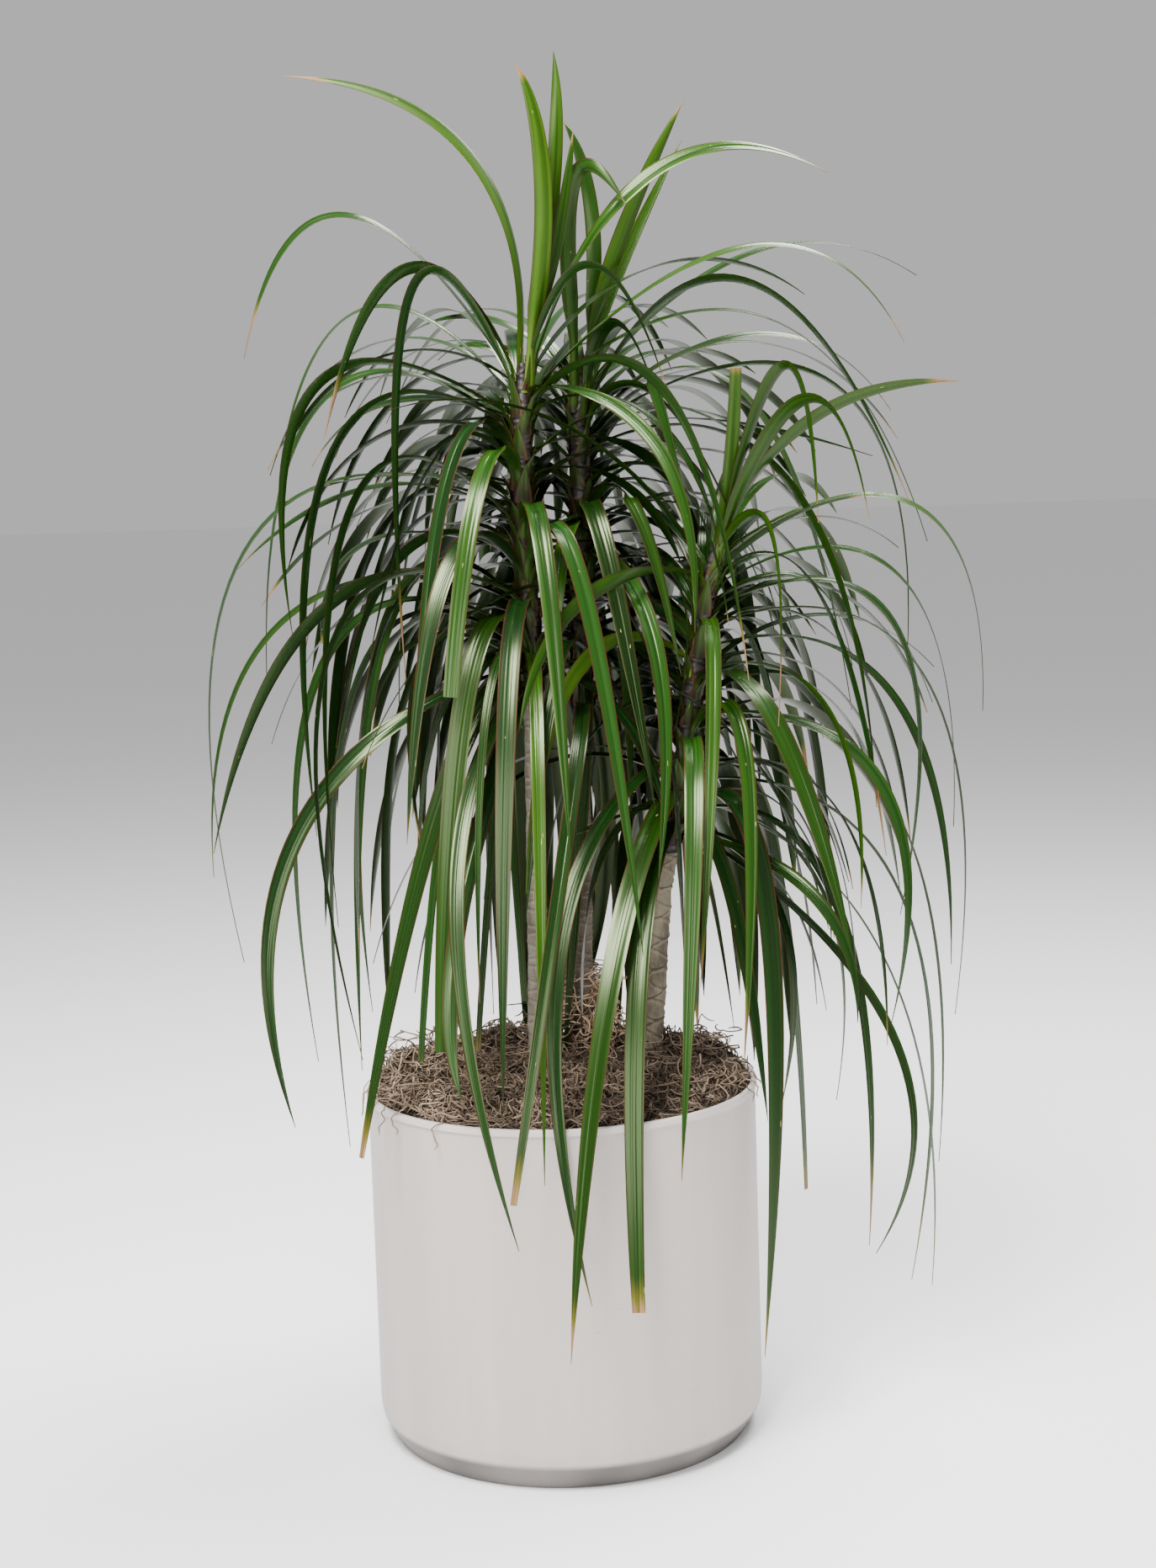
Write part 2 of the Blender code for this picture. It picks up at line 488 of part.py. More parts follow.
def strip(root, azimuth, launch, droop, length, count):
    """Points of a strap that leaves its root at an angle and bends under its own weight.

    Its slope falls at a rate of droop times the cosine of the slope, so its reach and
    rise have closed forms in the angle that it has turned to.
    """
    start = math.atanh(math.sin(launch))
    points = []
    for i in range(count + 1):
        here = start - droop * length * i / count
        slope = math.asin(math.tanh(here))
        reach = (launch - slope) / droop
        rise = (math.log(math.cosh(start)) - math.log(math.cosh(here))) / droop
        points.append(root + Vector((reach * math.cos(azimuth), reach * math.sin(azimuth), rise)))
    return points


def width_share(t, cut_share):
    """Width of a blade along its length, as a share of its full width."""
    rise = min(1.0, ROOT_SHARE + ROOT_FLARE * t)
    return rise * (1 - (1 - cut_share) * t ** 3)


def blade_sides(points, face, twist):
    """Across and upper directions of a blade at each of its points."""
    run = points[len(points) // 2] - points[0]
    level = Vector((-run.y, run.x, 0)).normalized()
    sides = []
    before = None
    last = len(points) - 1
    for i, point in enumerate(points):
        tangent = (points[min(i + 1, last)] - points[max(i - 1, 0)]).normalized()
        across = (level - tangent * level.dot(tangent)).normalized()
        shown = tangent.cross(EYE - point).normalized()
        if shown.dot(before or across) < 0:
            shown = -shown
        weight = face * min(1, FACE_EASE * i / last)
        across = across.lerp(shown, weight)
        across = (across - tangent * across.dot(tangent)).normalized()
        upper = tangent.cross(across).normalized()
        angle = twist * i / last
        turned_across = across * math.cos(angle) + upper * math.sin(angle)
        upper = tangent.cross(turned_across).normalized()
        if upper.dot(Vector((0, 0, 1))) < 0 and i == 0:
            level, turned_across, upper = -level, -turned_across, -upper
        before = turned_across
        sides.append((turned_across, upper))
    return sides


def blade_solid(points, width, cut_share, face, twist, swell=0.0):
    """Corners and triangles of a blade, alike on both its faces; swell adds a skin of air."""
    sides = blade_sides(points, face, twist)
    half_thick = BLADE_THICKNESS / 2 + swell
    last = len(points) - 1
    verts = []
    for i, (point, (across, upper)) in enumerate(zip(points, sides)):
        half = max(TIP_WIDTH, width * width_share(i / last, cut_share)) / 2 + swell
        verts += [point - across * half + upper * half_thick, point + across * half + upper * half_thick,
                  point + across * half - upper * half_thick, point - across * half - upper * half_thick]
    faces = [(0, 1, 2), (0, 2, 3)]
    for i in range(last):
        a = 4 * i
        b = a + 4
        if i % 2:
            top = [(a, b, b + 1), (a, b + 1, a + 1)]
            low = [(a + 3, a + 2, b + 2), (a + 3, b + 2, b + 3)]
        else:
            top = [(a, b, a + 1), (b, b + 1, a + 1)]
            low = [(a + 3, a + 2, b + 3), (b + 3, a + 2, b + 2)]
        side = [(a + 1, b + 1, b + 2), (a + 1, b + 2, a + 2), (a, a + 3, b + 3), (a, b + 3, b)]
        faces += top + low + side
    end = 4 * last
    faces += [(end, end + 3, end + 2), (end, end + 2, end + 1)]
    return verts, faces


ROOT_FACES = 10         # faces of a blade's root end and of its first length


def tree_of(verts, faces):
    return BVHTree.FromPolygons([tuple(v) for v in verts], faces)


class Placed:
    """A blade in its place, with the trees that later blades are tested against."""

    def __init__(self, crown, points, width, cut_share, face, twist):
        self.crown = crown
        self.shape = (points, width, cut_share, face, twist)
        verts, faces = blade_solid(*self.shape, swell=CLEARANCE / 2)
        self.whole = tree_of(verts, faces)
        self.outer = tree_of(verts, faces[ROOT_FACES:])
        self.low = [min(v[k] for v in verts) for k in range(3)]
        self.high = [max(v[k] for v in verts) for k in range(3)]

    def near(self, other):
        return all(self.low[k] <= other.high[k] and other.low[k] <= self.high[k] for k in range(3))

    def crosses(self, other):
        if not self.near(other):
            return False
        if self.crown == other.crown:
            return bool(self.outer.overlap(other.outer))
        return bool(self.whole.overlap(other.whole))


def ring_skin(points, radii, sides):
    """Corners and faces of level rings joined one above the other."""
    verts = []
    for point, radius in zip(points, radii):
        for side in range(sides):
            angle = math.tau * side / sides
            verts.append(point + Vector((radius * math.cos(angle), radius * math.sin(angle), 0)))
    faces = []
    for ring in range(len(points) - 1):
        for side in range(sides):
            low = ring * sides + side
            after = ring * sides + (side + 1) % sides
            faces += [(low, after, after + sides), (low, after + sides, low + sides)]
    return verts, faces


def pot_skin():
    """The pot's outside and the top of its wall, with air round them."""
    rings = [(0, POT_RADIUS + GAP), (POT_HEIGHT + GAP, POT_RADIUS + GAP),
             (POT_HEIGHT + GAP, POT_RADIUS - POT_WALL - GAP), (MOSS_EDGE, POT_RADIUS - POT_WALL)]
    points = [Vector((0, 0, height)) for height, radius in rings]
    return ring_skin(points, [radius for height, radius in rings], POT_SIDES)


class Grove:
    """Every leaf in its place, each one bent clear of what stands there already."""

    def __init__(self):
        self.fixed = [tree_of(*pot_skin()), tree_of(*moss_skin())]
        self.stems = {}
        for cane in CANES:
            points, radii = cane_line(cane)
            self.fixed.append(tree_of(*ring_skin(points, radii, GUIDE_SIDES)))
            points, radii = stem_line(cane)
            self.stems[cane.name] = tree_of(*ring_skin(points, radii, GUIDE_SIDES))
        self.placed = []

    def meets(self, blade):
        """0 where a blade is clear, 1 where it crosses its own crown only, 2 where others."""
        if any(blade.whole.overlap(tree) for tree in self.fixed):
            return 2
        for name, tree in self.stems.items():
            own = name == blade.crown
            if (blade.outer if own else blade.whole).overlap(tree):
                return 2
        own_crossed = False
        for other in self.placed:
            if blade.crosses(other):
                if other.crown != blade.crown:
                    return 2
                own_crossed = True
        return 1 if own_crossed else 0

    def settle(self, tries):
        """Keep the first try that is clear, or else the first that only its own crown meets."""
        spare = None
        for blade in tries:
            state = self.meets(blade)
            if state == 0:
                self.placed.append(blade)
                return
            if state == 1 and spare is None:
                spare = blade
        if spare is not None:
            self.placed.append(spare)


def root_point(cane, height, aim):
    """Where a blade leaves the stem, sunk below its surface on the side that it leaves from."""
    axis = along(cane.route, cane.behind, height)
    out = Vector((aim.x - axis.x, aim.y - axis.y, 0)).normalized()
    return axis + out * (STEM_RADIUS - ROOT_SUNK)


def leaf_tries(cane, leaf):
    """A seen leaf, first as it is and then moved along the line of sight."""
    for step in SIDESTEPS:
        for share in BEND_SHARES:
            toward = leaf.toward + step
            bend_toward = BEND_DEPTH_SHARE * leaf.toward - BEHIND_SHARE * cane.behind + step * share
            bend = sighted(leaf.bend_x, leaf.bend_z, bend_toward)
            tip = sighted(leaf.tip_x, leaf.tip_z, toward)
            points = arc(root_point(cane, leaf.root, bend), bend, tip, SEEN_SEGMENTS)
            yield Placed(cane.name, points, leaf.width * CM, leaf.cut, leaf.face, 0)
            if step == 0:
                break


def inside_oval(point):
    """Whether a point is seen inside the oval that the leaves of the growth rule stay in."""
    share = EYE.y / (EYE.y - point.y)
    across = EYE.x + (point.x - EYE.x) * share
    up = EYE.z + (point.z - EYE.z) * share
    offset_x = (across / CM - FILL_CENTRE[0]) / FILL_HALF[0]
    offset_z = (up / CM - FILL_CENTRE[1]) / FILL_HALF[1]
    return offset_x ** 2 + offset_z ** 2 < 1


def fill_tries(cane, number, count):
    """A leaf of the growth rule, first in its place and then turned and bent a little."""
    draw = random.Random(FILL_SEEDS[cane.name] + number)
    age = (number + 0.5) / count

    def between(pair):
        return pair[0] + (pair[1] - pair[0]) * age

    low, high = cane.leafy_from + FILL_LOW, cane.route[-1][1] - FILL_HIGH
    height = low + (high - low) * age
    turned_to = number * GOLDEN_ANGLE
    azimuth = math.atan2(math.sin(turned_to), FILL_SIDEWAYS * math.cos(turned_to))
    if math.sin(azimuth) < FILL_FORWARD:
        azimuth = -azimuth
    for trial in range(FILL_TRIES):
        loose = min(1, FILL_FIRST_LOOSENESS + trial / FILL_TRIES)
        turn = azimuth + FILL_SPREAD * draw.uniform(-1, 1) * loose
        launch = math.radians(between(FILL_LAUNCH) + draw.uniform(*FILL_TILT) * loose)
        droop = between(FILL_DROOP) * draw.uniform(0.75, 1.3)
        length = between(FILL_LENGTH) * draw.uniform(0.75, 1.1)
        width = between(FILL_WIDTH) * draw.uniform(0.85, 1.1)
        twist = draw.uniform(-FILL_TWIST, FILL_TWIST)
        aim = along(cane.route, cane.behind, height) + Vector((math.cos(turn), math.sin(turn), 0))
        root = root_point(cane, height, aim)
        points = strip(root, turn, launch, droop, length, FILL_SEGMENTS)
        if all(inside_oval(point) for point in points):
            yield Placed(cane.name, points, width, 0, 0, twist)


def grown():
    """All the leaves: first those of the table, then those of the growth rule."""
    grove = Grove()
    for cane in CANES:
        for leaf in LEAVES[cane.name]:
            grove.settle(leaf_tries(cane, leaf))
    for cane in CANES:
        count = FILL_COUNTS[cane.name]
        for number in range(count):
            grove.settle(fill_tries(cane, number, count))
    return grove


def keep_largest_body(mesh):
    """Drop loose scraps and fill sealed hollows: only the largest skin stays."""
    made = bmesh.new()
    made.from_mesh(mesh)
    bmesh.ops.triangulate(made, faces=made.faces)
    unseen = set(made.verts)
    bodies = []
    while unseen:
        body = set()
        front = [unseen.pop()]
        while front:
            vert = front.pop()
            body.add(vert)
            for edge in vert.link_edges:
                other = edge.other_vert(vert)
                if other in unseen:
                    unseen.remove(other)
                    front.append(other)
        bodies.append(body)
    bodies.sort(key=len, reverse=True)
    spare = [vert for body in bodies[1:] for vert in body]
    bmesh.ops.delete(made, geom=spare, context="VERTS")
    made.to_mesh(mesh)
    made.free()


def join_leaves(stem, blades):
    """Fuse a crown's blades to its stem in one closed body."""
    group = bpy.data.collections.new(stem.name + "_blades")
    bpy.context.scene.collection.children.link(group)
    for number, blade in enumerate(blades):
        verts, faces = blade_solid(*blade.shape)
        add_mesh(f"{stem.name}_blade_{number:02d}", verts, faces, group)
    union = stem.modifiers.new("blades", "BOOLEAN")
    union.operation = "UNION"
    union.operand_type = "COLLECTION"
    union.collection = group
    union.solver = "MANIFOLD"
    bpy.context.view_layer.update()
    depsgraph = bpy.context.evaluated_depsgraph_get()
    fused = bpy.data.meshes.new_from_object(stem.evaluated_get(depsgraph))
    stem.modifiers.clear()
    keep_largest_body(fused)
    fused.materials.clear()
    fused.materials.append(finish("crown"))
    stem.data = fused
    for piece in list(group.objects):
        bpy.data.objects.remove(piece)
    bpy.data.collections.remove(group)
    smooth(stem, 50)


def clear_scene():
    for piece in list(bpy.data.objects):
        bpy.data.objects.remove(piece)


def main():
    clear_scene()
    parts = bpy.data.collections.new("potted_dragon_tree")
    cutters = bpy.data.collections.new("cutters")
    bpy.context.scene.collection.children.link(parts)
    bpy.context.scene.collection.children.link(cutters)

    add_pot(parts)
    holes = [add_cane(cane, parts, cutters)[1] for cane in CANES]
    add_soil(parts, holes)
    add_moss(parts, holes)
    grove = grown()
    for cane in CANES:
        blades = [blade for blade in grove.placed if blade.crown == cane.name]
        join_leaves(add_stem(cane, parts), blades)


if __name__ == "__main__":
    main()
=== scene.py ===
"""Potted dragon tree: three canes with arching strap leaves in a tall round planter."""

import math
import random
from collections import namedtuple

import bmesh
import bpy
from mathutils import Euler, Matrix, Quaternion, Vector
from mathutils.bvhtree import BVHTree


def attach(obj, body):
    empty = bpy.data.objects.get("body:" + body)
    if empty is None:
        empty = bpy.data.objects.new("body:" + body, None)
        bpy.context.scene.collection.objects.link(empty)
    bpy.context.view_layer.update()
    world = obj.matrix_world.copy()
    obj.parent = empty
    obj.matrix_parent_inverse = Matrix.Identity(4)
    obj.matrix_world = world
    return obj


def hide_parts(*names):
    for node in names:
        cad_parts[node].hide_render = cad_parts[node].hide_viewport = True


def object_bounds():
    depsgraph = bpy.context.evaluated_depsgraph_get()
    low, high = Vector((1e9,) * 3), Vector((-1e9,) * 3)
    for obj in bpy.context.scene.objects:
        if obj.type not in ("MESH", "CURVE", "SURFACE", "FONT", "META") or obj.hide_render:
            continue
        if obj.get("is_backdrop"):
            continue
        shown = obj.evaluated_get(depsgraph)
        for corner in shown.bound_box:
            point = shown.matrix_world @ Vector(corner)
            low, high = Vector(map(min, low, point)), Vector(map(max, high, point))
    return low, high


bl_info = {
    "name": "Potted Dragon Tree",
    "version": (1, 0, 0),
    "blender": (4, 5, 0),
    "location": "View3D > Sidebar > Dragon Tree",
    "description": "Dresses the solids of a potted dragon tree with fine leaves, canes, moss and pot",
    "category": "Object",
}

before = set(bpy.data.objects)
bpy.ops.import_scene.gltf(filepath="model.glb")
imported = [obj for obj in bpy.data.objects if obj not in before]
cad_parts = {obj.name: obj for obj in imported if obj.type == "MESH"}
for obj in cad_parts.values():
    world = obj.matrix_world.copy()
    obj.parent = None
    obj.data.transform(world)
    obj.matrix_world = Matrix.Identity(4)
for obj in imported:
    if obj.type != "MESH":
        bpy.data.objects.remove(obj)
CAD_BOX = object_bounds()

CM = 0.01
GAP = 0.0003            # air left between pieces that touch

# Pot, soil and mound, as in the solids
POT_RADIUS = 0.180
POT_FOOT_RADIUS = 0.178
POT_HEIGHT = 0.325
POT_WALL = 0.0055
POT_FLOOR = 0.010
BEAD_HEIGHT = 0.006
BEAD_PROUD = 0.0015
CHAMFER_HEIGHT = 0.024
CHAMFER_INSET = 0.016
EDGE_ROUND = 0.001
INNER_CHAMFER_TOP = 0.028
INNER_FLOOR_RADIUS = 0.163
POT_SIDES = 60
SOIL_TOP = 0.292
MOSS_EDGE = 0.318
MOSS_RISE = 0.010
MOSS_RIPPLE = 0.0022
MOSS_RINGS = 7
MOSS_SECTORS = 36

# Canes and stems, as in the solids
CANE_FOOT = 0.165
CANE_RADIUS = 0.0088
CANE_FOOT_RADIUS = 0.0104
FOOT_TAPER = 1.6
CANE_STEP = 0.026
SCAR_SWELL = 0.035
STEM_RADIUS = 0.0085
STEM_TIP_RADIUS = 0.0040
STEM_STEP = 0.040

# Leaf blades, as in the solids
BLADE_THICKNESS = 0.0008
SEEN_SEGMENTS = 6
FILL_SEGMENTS = 4
ARC_FULLNESS = 0.18
ROOT_SUNK = 0.0040
ROOT_SHARE = 0.50
ROOT_FLARE = 3.0
TIP_WIDTH = 0.0012
FACE_EASE = 2.5
BEND_DEPTH_SHARE = 0.60
BEHIND_SHARE = 0.4
CLEARANCE = 0.0012
GOLDEN_ANGLE = math.radians(137.508)
GUIDE_SIDES = 10        # sides of the canes and stems that leaves are kept clear of
ROOT_FACES = 10         # faces of a plain blade's root end and of its first length

# The eye that the tables below are read from
EYE = Vector((0.024, -2.200, 0.861))

# A cane: its route as seen, how far it stands behind the pot's axis, and where its
# bare part ends and its leaves begin
Cane = namedtuple("Cane", "name route behind leafy_from")
CANES = (
    Cane("left", ((-2.4, 30), (-2.0, 38), (-1.7, 50), (-1.5, 62), (-1.4, 72), (-1.8, 82),
                  (-1.8, 90), (-1.3, 98)), 1.5, 68.0),
    Cane("middle", ((2.0, 30), (2.3, 38), (2.5, 50), (2.7, 60), (3.1, 70), (3.4, 80),
                    (3.5, 90), (3.8, 97)), 7.0, 65.5),
    Cane("right", ((8.2, 30), (8.8, 38), (9.8, 50), (11.6, 58), (12.9, 67), (14.2, 75),
                   (15.6, 81.5)), 3.0, 53.5),
)

# A tuft of the mound: across, behind the axis, height above the mound, half width
Tuft = namedtuple("Tuft", "x y rise spread")
TUFTS = (
    Tuft(-13.0, 5.0, 1.6, 5.0), Tuft(-6.0, 13.0, 2.0, 4.0), Tuft(2.4, 7.5, 4.6, 2.6),
    Tuft(9.0, 4.0, 2.2, 3.6), Tuft(14.0, 6.0, 1.9, 3.5), Tuft(-2.2, 1.5, 1.2, 2.4),
    Tuft(5.0, -9.0, 0.7, 4.0), Tuft(-8.0, -8.0, 0.5, 4.0),
)

# A leaf as seen: height of its root on the stem, the point where it bends away from the
# straight line between its ends, its tip, how far its tip stands towards the viewer, its
# full width, how squarely it faces the viewer (0 to 1), and the width left at a cut tip
Leaf = namedtuple("Leaf", "root bend_x bend_z tip_x tip_z toward width face cut", defaults=(0,))
LEAVES = {
    "left": (
        (97.5, 1.9, 113, 2.3, 125, -1, 1.4, 0.9), (96.8, 1.0, 113, -1.1, 124.2, 1, 1.5, 0.9),
        (97, 2.0, 108, 3.8, 118, -3, 1.1, 0.7), (95.5, -4.9, 115.6, -21.6, 123.6, -4, 1.2, 0.5),
        (96, -16.6, 111.4, -26.2, 99.2, -3, 1.1, 0.4), (96.5, -11.2, 106.6, -19.4, 91.7, 0, 1.3, 0.5),
        (95, -11.0, 104.6, -12.9, 69.8, 3, 1.3, 0.5), (94.5, -15, 103.3, -23.3, 90, -2, 1.1, 0.4),
        (93, -19.5, 96.9, -23, 74.5, 2, 1.2, 0.5), (92, -19, 95.6, -25.5, 71, -4, 1.0, 0.4),
        (84, -15, 87.5, -27.7, 80.5, -7, 0.9, 0.4), (86, -27, 82, -28.8, 44.5, -2, 1.0, 0.3),
        (78, -24, 75.5, -31.2, 52.5, -1, 0.9, 0.4), (77, -19.5, 77, -31.1, 54.7, 5, 1.5, 0.5),
        (71, -23.2, 56.5, -24.8, 28.8, 11, 1.5, 0.5), (83.5, -17, 86, -20, 47.5, 5, 1.2, 0.4),
        (90, -9.3, 90.0, -16, 72.5, 7, 1.5, 0.4), (89.2, -8.0, 89.3, -12.5, 60, 10, 1.6, 0.4),
        (88.4, -10.3, 89.6, -18.3, 68.5, 3, 1.5, 0.4), (92, -18.5, 90.8, -21.6, 56, 1, 1.2, 0.5),
        (93, -13, 95, -20.6, 89.4, -3, 1.3, 0.3), (88, -5.4, 88, -8.9, 68.3, 15, 1.5, 0.3, 0.8),
        (83.3, 0, 81.2, 1.5, 53, 15, 1.65, 0.3), (75.8, -3.7, 68.4, -5.5, 29.5, 20, 1.7, 0.3),
        (73, -7.2, 70, -10.9, 35.5, 12, 1.9, 0.4, 0.7), (69.9, -8.9, 47.5, -9.3, 31, 17, 1.7, 0.35),
        (70, -9.5, 60.5, -18.8, 25.7, 15, 1.9, 0.5, 0.25), (76, -14.4, 75, -18.4, 34, 3, 1.4, 0.6),
        (73, -11.2, 71.5, -11.8, 52.5, 7, 1.4, 0.5), (77, -19.4, 73.5, -18.3, 35, 6, 1.3, 0.5),
        (74, -20.4, 71.5, -22.4, 35, -3, 1.1, 0.5), (72, -17.5, 69.5, -19.8, 26.8, -8, 1.0, 0.5),
        (71, -15.2, 69.5, -17.2, 39.5, -4, 1.1, 0.5), (69.4, -9, 50.6, -4.5, 16.3, 22, 1.3, 0.4),
        (71.4, -1.2, 62.5, -1.9, 22.5, 21, 1.2, 0.4), (79.5, 3, 79.3, 7.9, 43.9, 14, 1.6, 0.3),
        (95.9, 10.3, 90.4, 13.4, 73.5, 11, 1.45, 0.5), (97, 5.0, 106.4, 11.5, 95.3, 5, 1.1, 0.4),
        (96, 10.6, 114.2, 26.3, 113.8, -3, 1.4, 0.5), (95, 19.3, 107.6, 32.8, 98.8, -5, 1.1, 0.3),
        (94, 20.5, 101.3, 34.6, 81, -8, 1.1, 0.3), (94, 11, 95.4, 18.2, 69, 13, 1.4, 0.5),
        (87, -14, 88.4, -23.6, 86.2, 1, 0.9, 0.3), (80, -12.6, 81.4, -19.5, 64, 9, 1.5, 0.4),
        (79, -8.6, 80.2, -13.4, 55, 12, 1.6, 0.4), (81, -15.6, 82.6, -20.2, 73.6, 6, 1.3, 0.3, 0.6),
        (70.3, -8, 66, -12.9, 34.7, 4, 1.05, 0.4, 0.6), (70.3, -4.1, 65.2, -7.6, 35.7, 2, 0.95, 0.4, 0.6),
        (71.6, -5.6, 67.5, -7.3, 40, 13, 0.8, 0.4), (69.8, -3.6, 65.8, -3.1, 40, 4, 0.85, 0.4, 0.7),
    ),
    "middle": (
        (66.7, 1.8, 58.8, -4.85, 20.7, 23, 1.3, 0.4, 0.4), (71.5, 0.6, 69.6, -2.8, 47.5, 13, 1.2, 0.4),
        (84.5, 1.6, 80.7, 1.1, 73.5, 7, 1.4, 0.4), (83, 5.4, 82.1, 9.4, 57.5, 6, 1.75, 0.5),
        (81.2, 9.7, 72.6, 9.5, 51, 12, 1.6, 0.4), (83.3, 7.9, 85.6, 12.1, 69.5, 4, 1.3, 0.4),
        (95, 3.6, 113.3, 8.3, 111.6, 0, 1.4, 0.9), (96, 5.3, 110, 3.0, 118.9, -6, 1.3, 0.8),
        (96.4, 7.3, 107.6, 13.6, 120.4, -5, 1.5, 0.8), (95.6, 7.2, 105, 13.4, 117, -9, 1.2, 0.7),
        (93.5, 18.6, 104.6, 33, 84.7, -6, 1.3, 0.4), (95, 19.2, 107, 34, 104.6, -12, 0.9, 0.3),
        (93, 20, 99.9, 31.5, 92.8, -10, 0.9, 0.3), (92, 26.5, 95.2, 32.6, 70.5, -8, 0.9, 0.3),
        (91.5, 18.5, 94.5, 27.5, 66, -10, 1.2, 0.3), (91, 14, 92.6, 29.8, 88.8, -9, 0.9, 0.2),
        (92, 10.4, 94.8, 18.5, 80, -1, 1.5, 0.4), (94, 7.9, 100.7, 13, 84, 0, 1.6, 0.4),
        (87, 12.1, 87.2, 16.5, 74, 5, 1.4, 0.4), (90, 22, 87, 29.6, 57, 0, 1.4, 0.3),
        (68.9, 4.9, 54.4, 0.4, 35.5, -13, 1.4, 0.4), (93, -3.6, 99.2, -8.9, 98.5, -10, 1.0, 0.3),
        (78, 6.5, 78.4, 7.2, 57, -2, 1.7, 0.4), (69, 6.2, 68.4, 11.5, 60.5, -14, 1.5, 0.2),
        (79.3, 11.8, 78.4, 11.4, 64.8, 3, 1.1, 0.4), (69, 3.1, 63.2, 0.4, 35, -6, 1.4, 0.4, 0.2),
    ),
    "right": (
        (80.4, 17.0, 88.5, 17.7, 97, -1, 1.2, 0.9, 0.8), (80, 21.9, 97, 24.8, 83, 1, 1.4, 0.5),
        (79, 23.4, 91.6, 37.8, 95.2, 3, 1.3, 0.6), (80, 23.7, 94, 29.4, 83.2, 5, 1.4, 0.5),
        (80.2, 20.4, 82.6, 20.8, 64.7, 8, 1.2, 0.5), (77.5, 32, 78, 36.6, 55, -4, 0.9, 0.3),
        (80.6, 34, 84, 39.4, 65.5, -8, 1.0, 0.3), (78.5, 21.5, 83.2, 29, 85.3, 4, 0.9, 0.3),
        (78, 24.5, 77, 30.4, 52.5, 4, 1.2, 0.4), (70, 25, 66.5, 28, 47.7, 9, 1.2, 0.5),
        (75.5, 31.4, 73.8, 31.6, 47, 3, 1.2, 0.4), (72, 31, 67.5, 36.2, 42.2, 0, 1.2, 0.4),
        (74, 34, 69, 36.5, 37.5, -7, 0.9, 0.3), (61, 25.7, 57.3, 30.2, 34.8, 10, 1.4, 0.4),
        (60, 23, 58.9, 27.5, 41, 6, 1.3, 0.3), (69, 20.3, 65.5, 27.2, 43, 11, 1.9, 0.4),
        (58, 21, 57.3, 25.5, 45, 3, 1.3, 0.3), (57, 25.4, 49, 28.2, 15.8, 6, 1.3, 0.4),
        (55, 23.4, 49.3, 27.5, 37, 10, 1.3, 0.4), (58.5, 30, 43, 34, 11.8, -6, 1.0, 0.3),
        (65, 31.2, 57, 34.8, 23.6, -2, 0.9, 0.3), (56, 30.6, 36, 28.8, 15, 8, 1.1, 0.4),
        (60, 31.6, 49, 32.1, 12.4, 1, 1.0, 0.3), (57.5, 19.2, 49.6, 18.2, 5.3, 9, 1.8, 0.5),
        (64, 17.6, 63, 16.9, 33.2, 12, 1.4, 0.4), (73.6, 15, 69, 13.1, 40.8, 14, 1.35, 0.4),
        (60.9, 13, 58.6, 10.85, 22.5, 20, 1.65, 0.3), (59.4, 5.2, 43.3, 0, 5.3, 23, 1.9, 0.4),
        (56.4, 7.5, 43.4, 6.5, 10, 22, 1.75, 0.4, 0.6), (62.5, 0.5, 46.1, 2.15, 10.8, 20, 1.5, 0.4),
        (58, 6.3, 57, 2.1, 55.4, 3, 0.9, 0.3), (54.8, 13.5, 53.2, 16.1, 36.8, -5, 0.7, 0.3),
        (55.5, 20.6, 47.5, 20.3, 29.4, -3, 1.2, 0.4), (57.6, 19.4, 56.6, 22.4, 21.4, -7, 1.4, 0.5, 0.4),
        (58, 24.2, 50, 25.4, 29.8, -8, 0.8, 0.3), (66, 29.8, 59.5, 30.6, 36.8, 5, 1.3, 0.4),
        (78.5, 3.6, 76.9, -2.8, 65, 12, 1.3, 0.4), (71, 18.6, 72.3, 22.5, 50, -5, 1.3, 0.4),
        (64, 17.6, 62.6, 20.6, 44, -6, 1.4, 0.4), (76, 23.5, 78, 27.6, 70, -6, 1.4, 0.3),
        (54.4, 15.5, 51.6, 19, 28, 5, 1.6, 0.4),
    ),
}

# Leaves that the ones above don't account for, placed round each stem by a growth rule: how
# many are tried, and the first seed. The solids have the outer ones only
OUTER = {"left": (19, 1100), "middle": (26, 2300), "right": (19, 3700)}
INNER = {"left": (22, 5100), "middle": (34, 6300), "right": (24, 7700)}
CLOSE = {"left": (40, 8100), "middle": (52, 9300), "right": (36, 9900)}
FILL_TRIES = 60
FILL_FIRST_LOOSENESS = 0.25         # how freely the first try of a leaf is turned, of the last
FILL_SPREAD = math.radians(24)      # how far a try may turn a leaf out of its place
FILL_TILT = (-16, 10)               # how far a try may tilt its launch, in degrees
FILL_TWIST = 0.6                    # radians that such a blade may turn along its length
FILL_DROOP_VARY = (0.75, 1.3)
FILL_WIDTH_VARY = (0.85, 1.1)
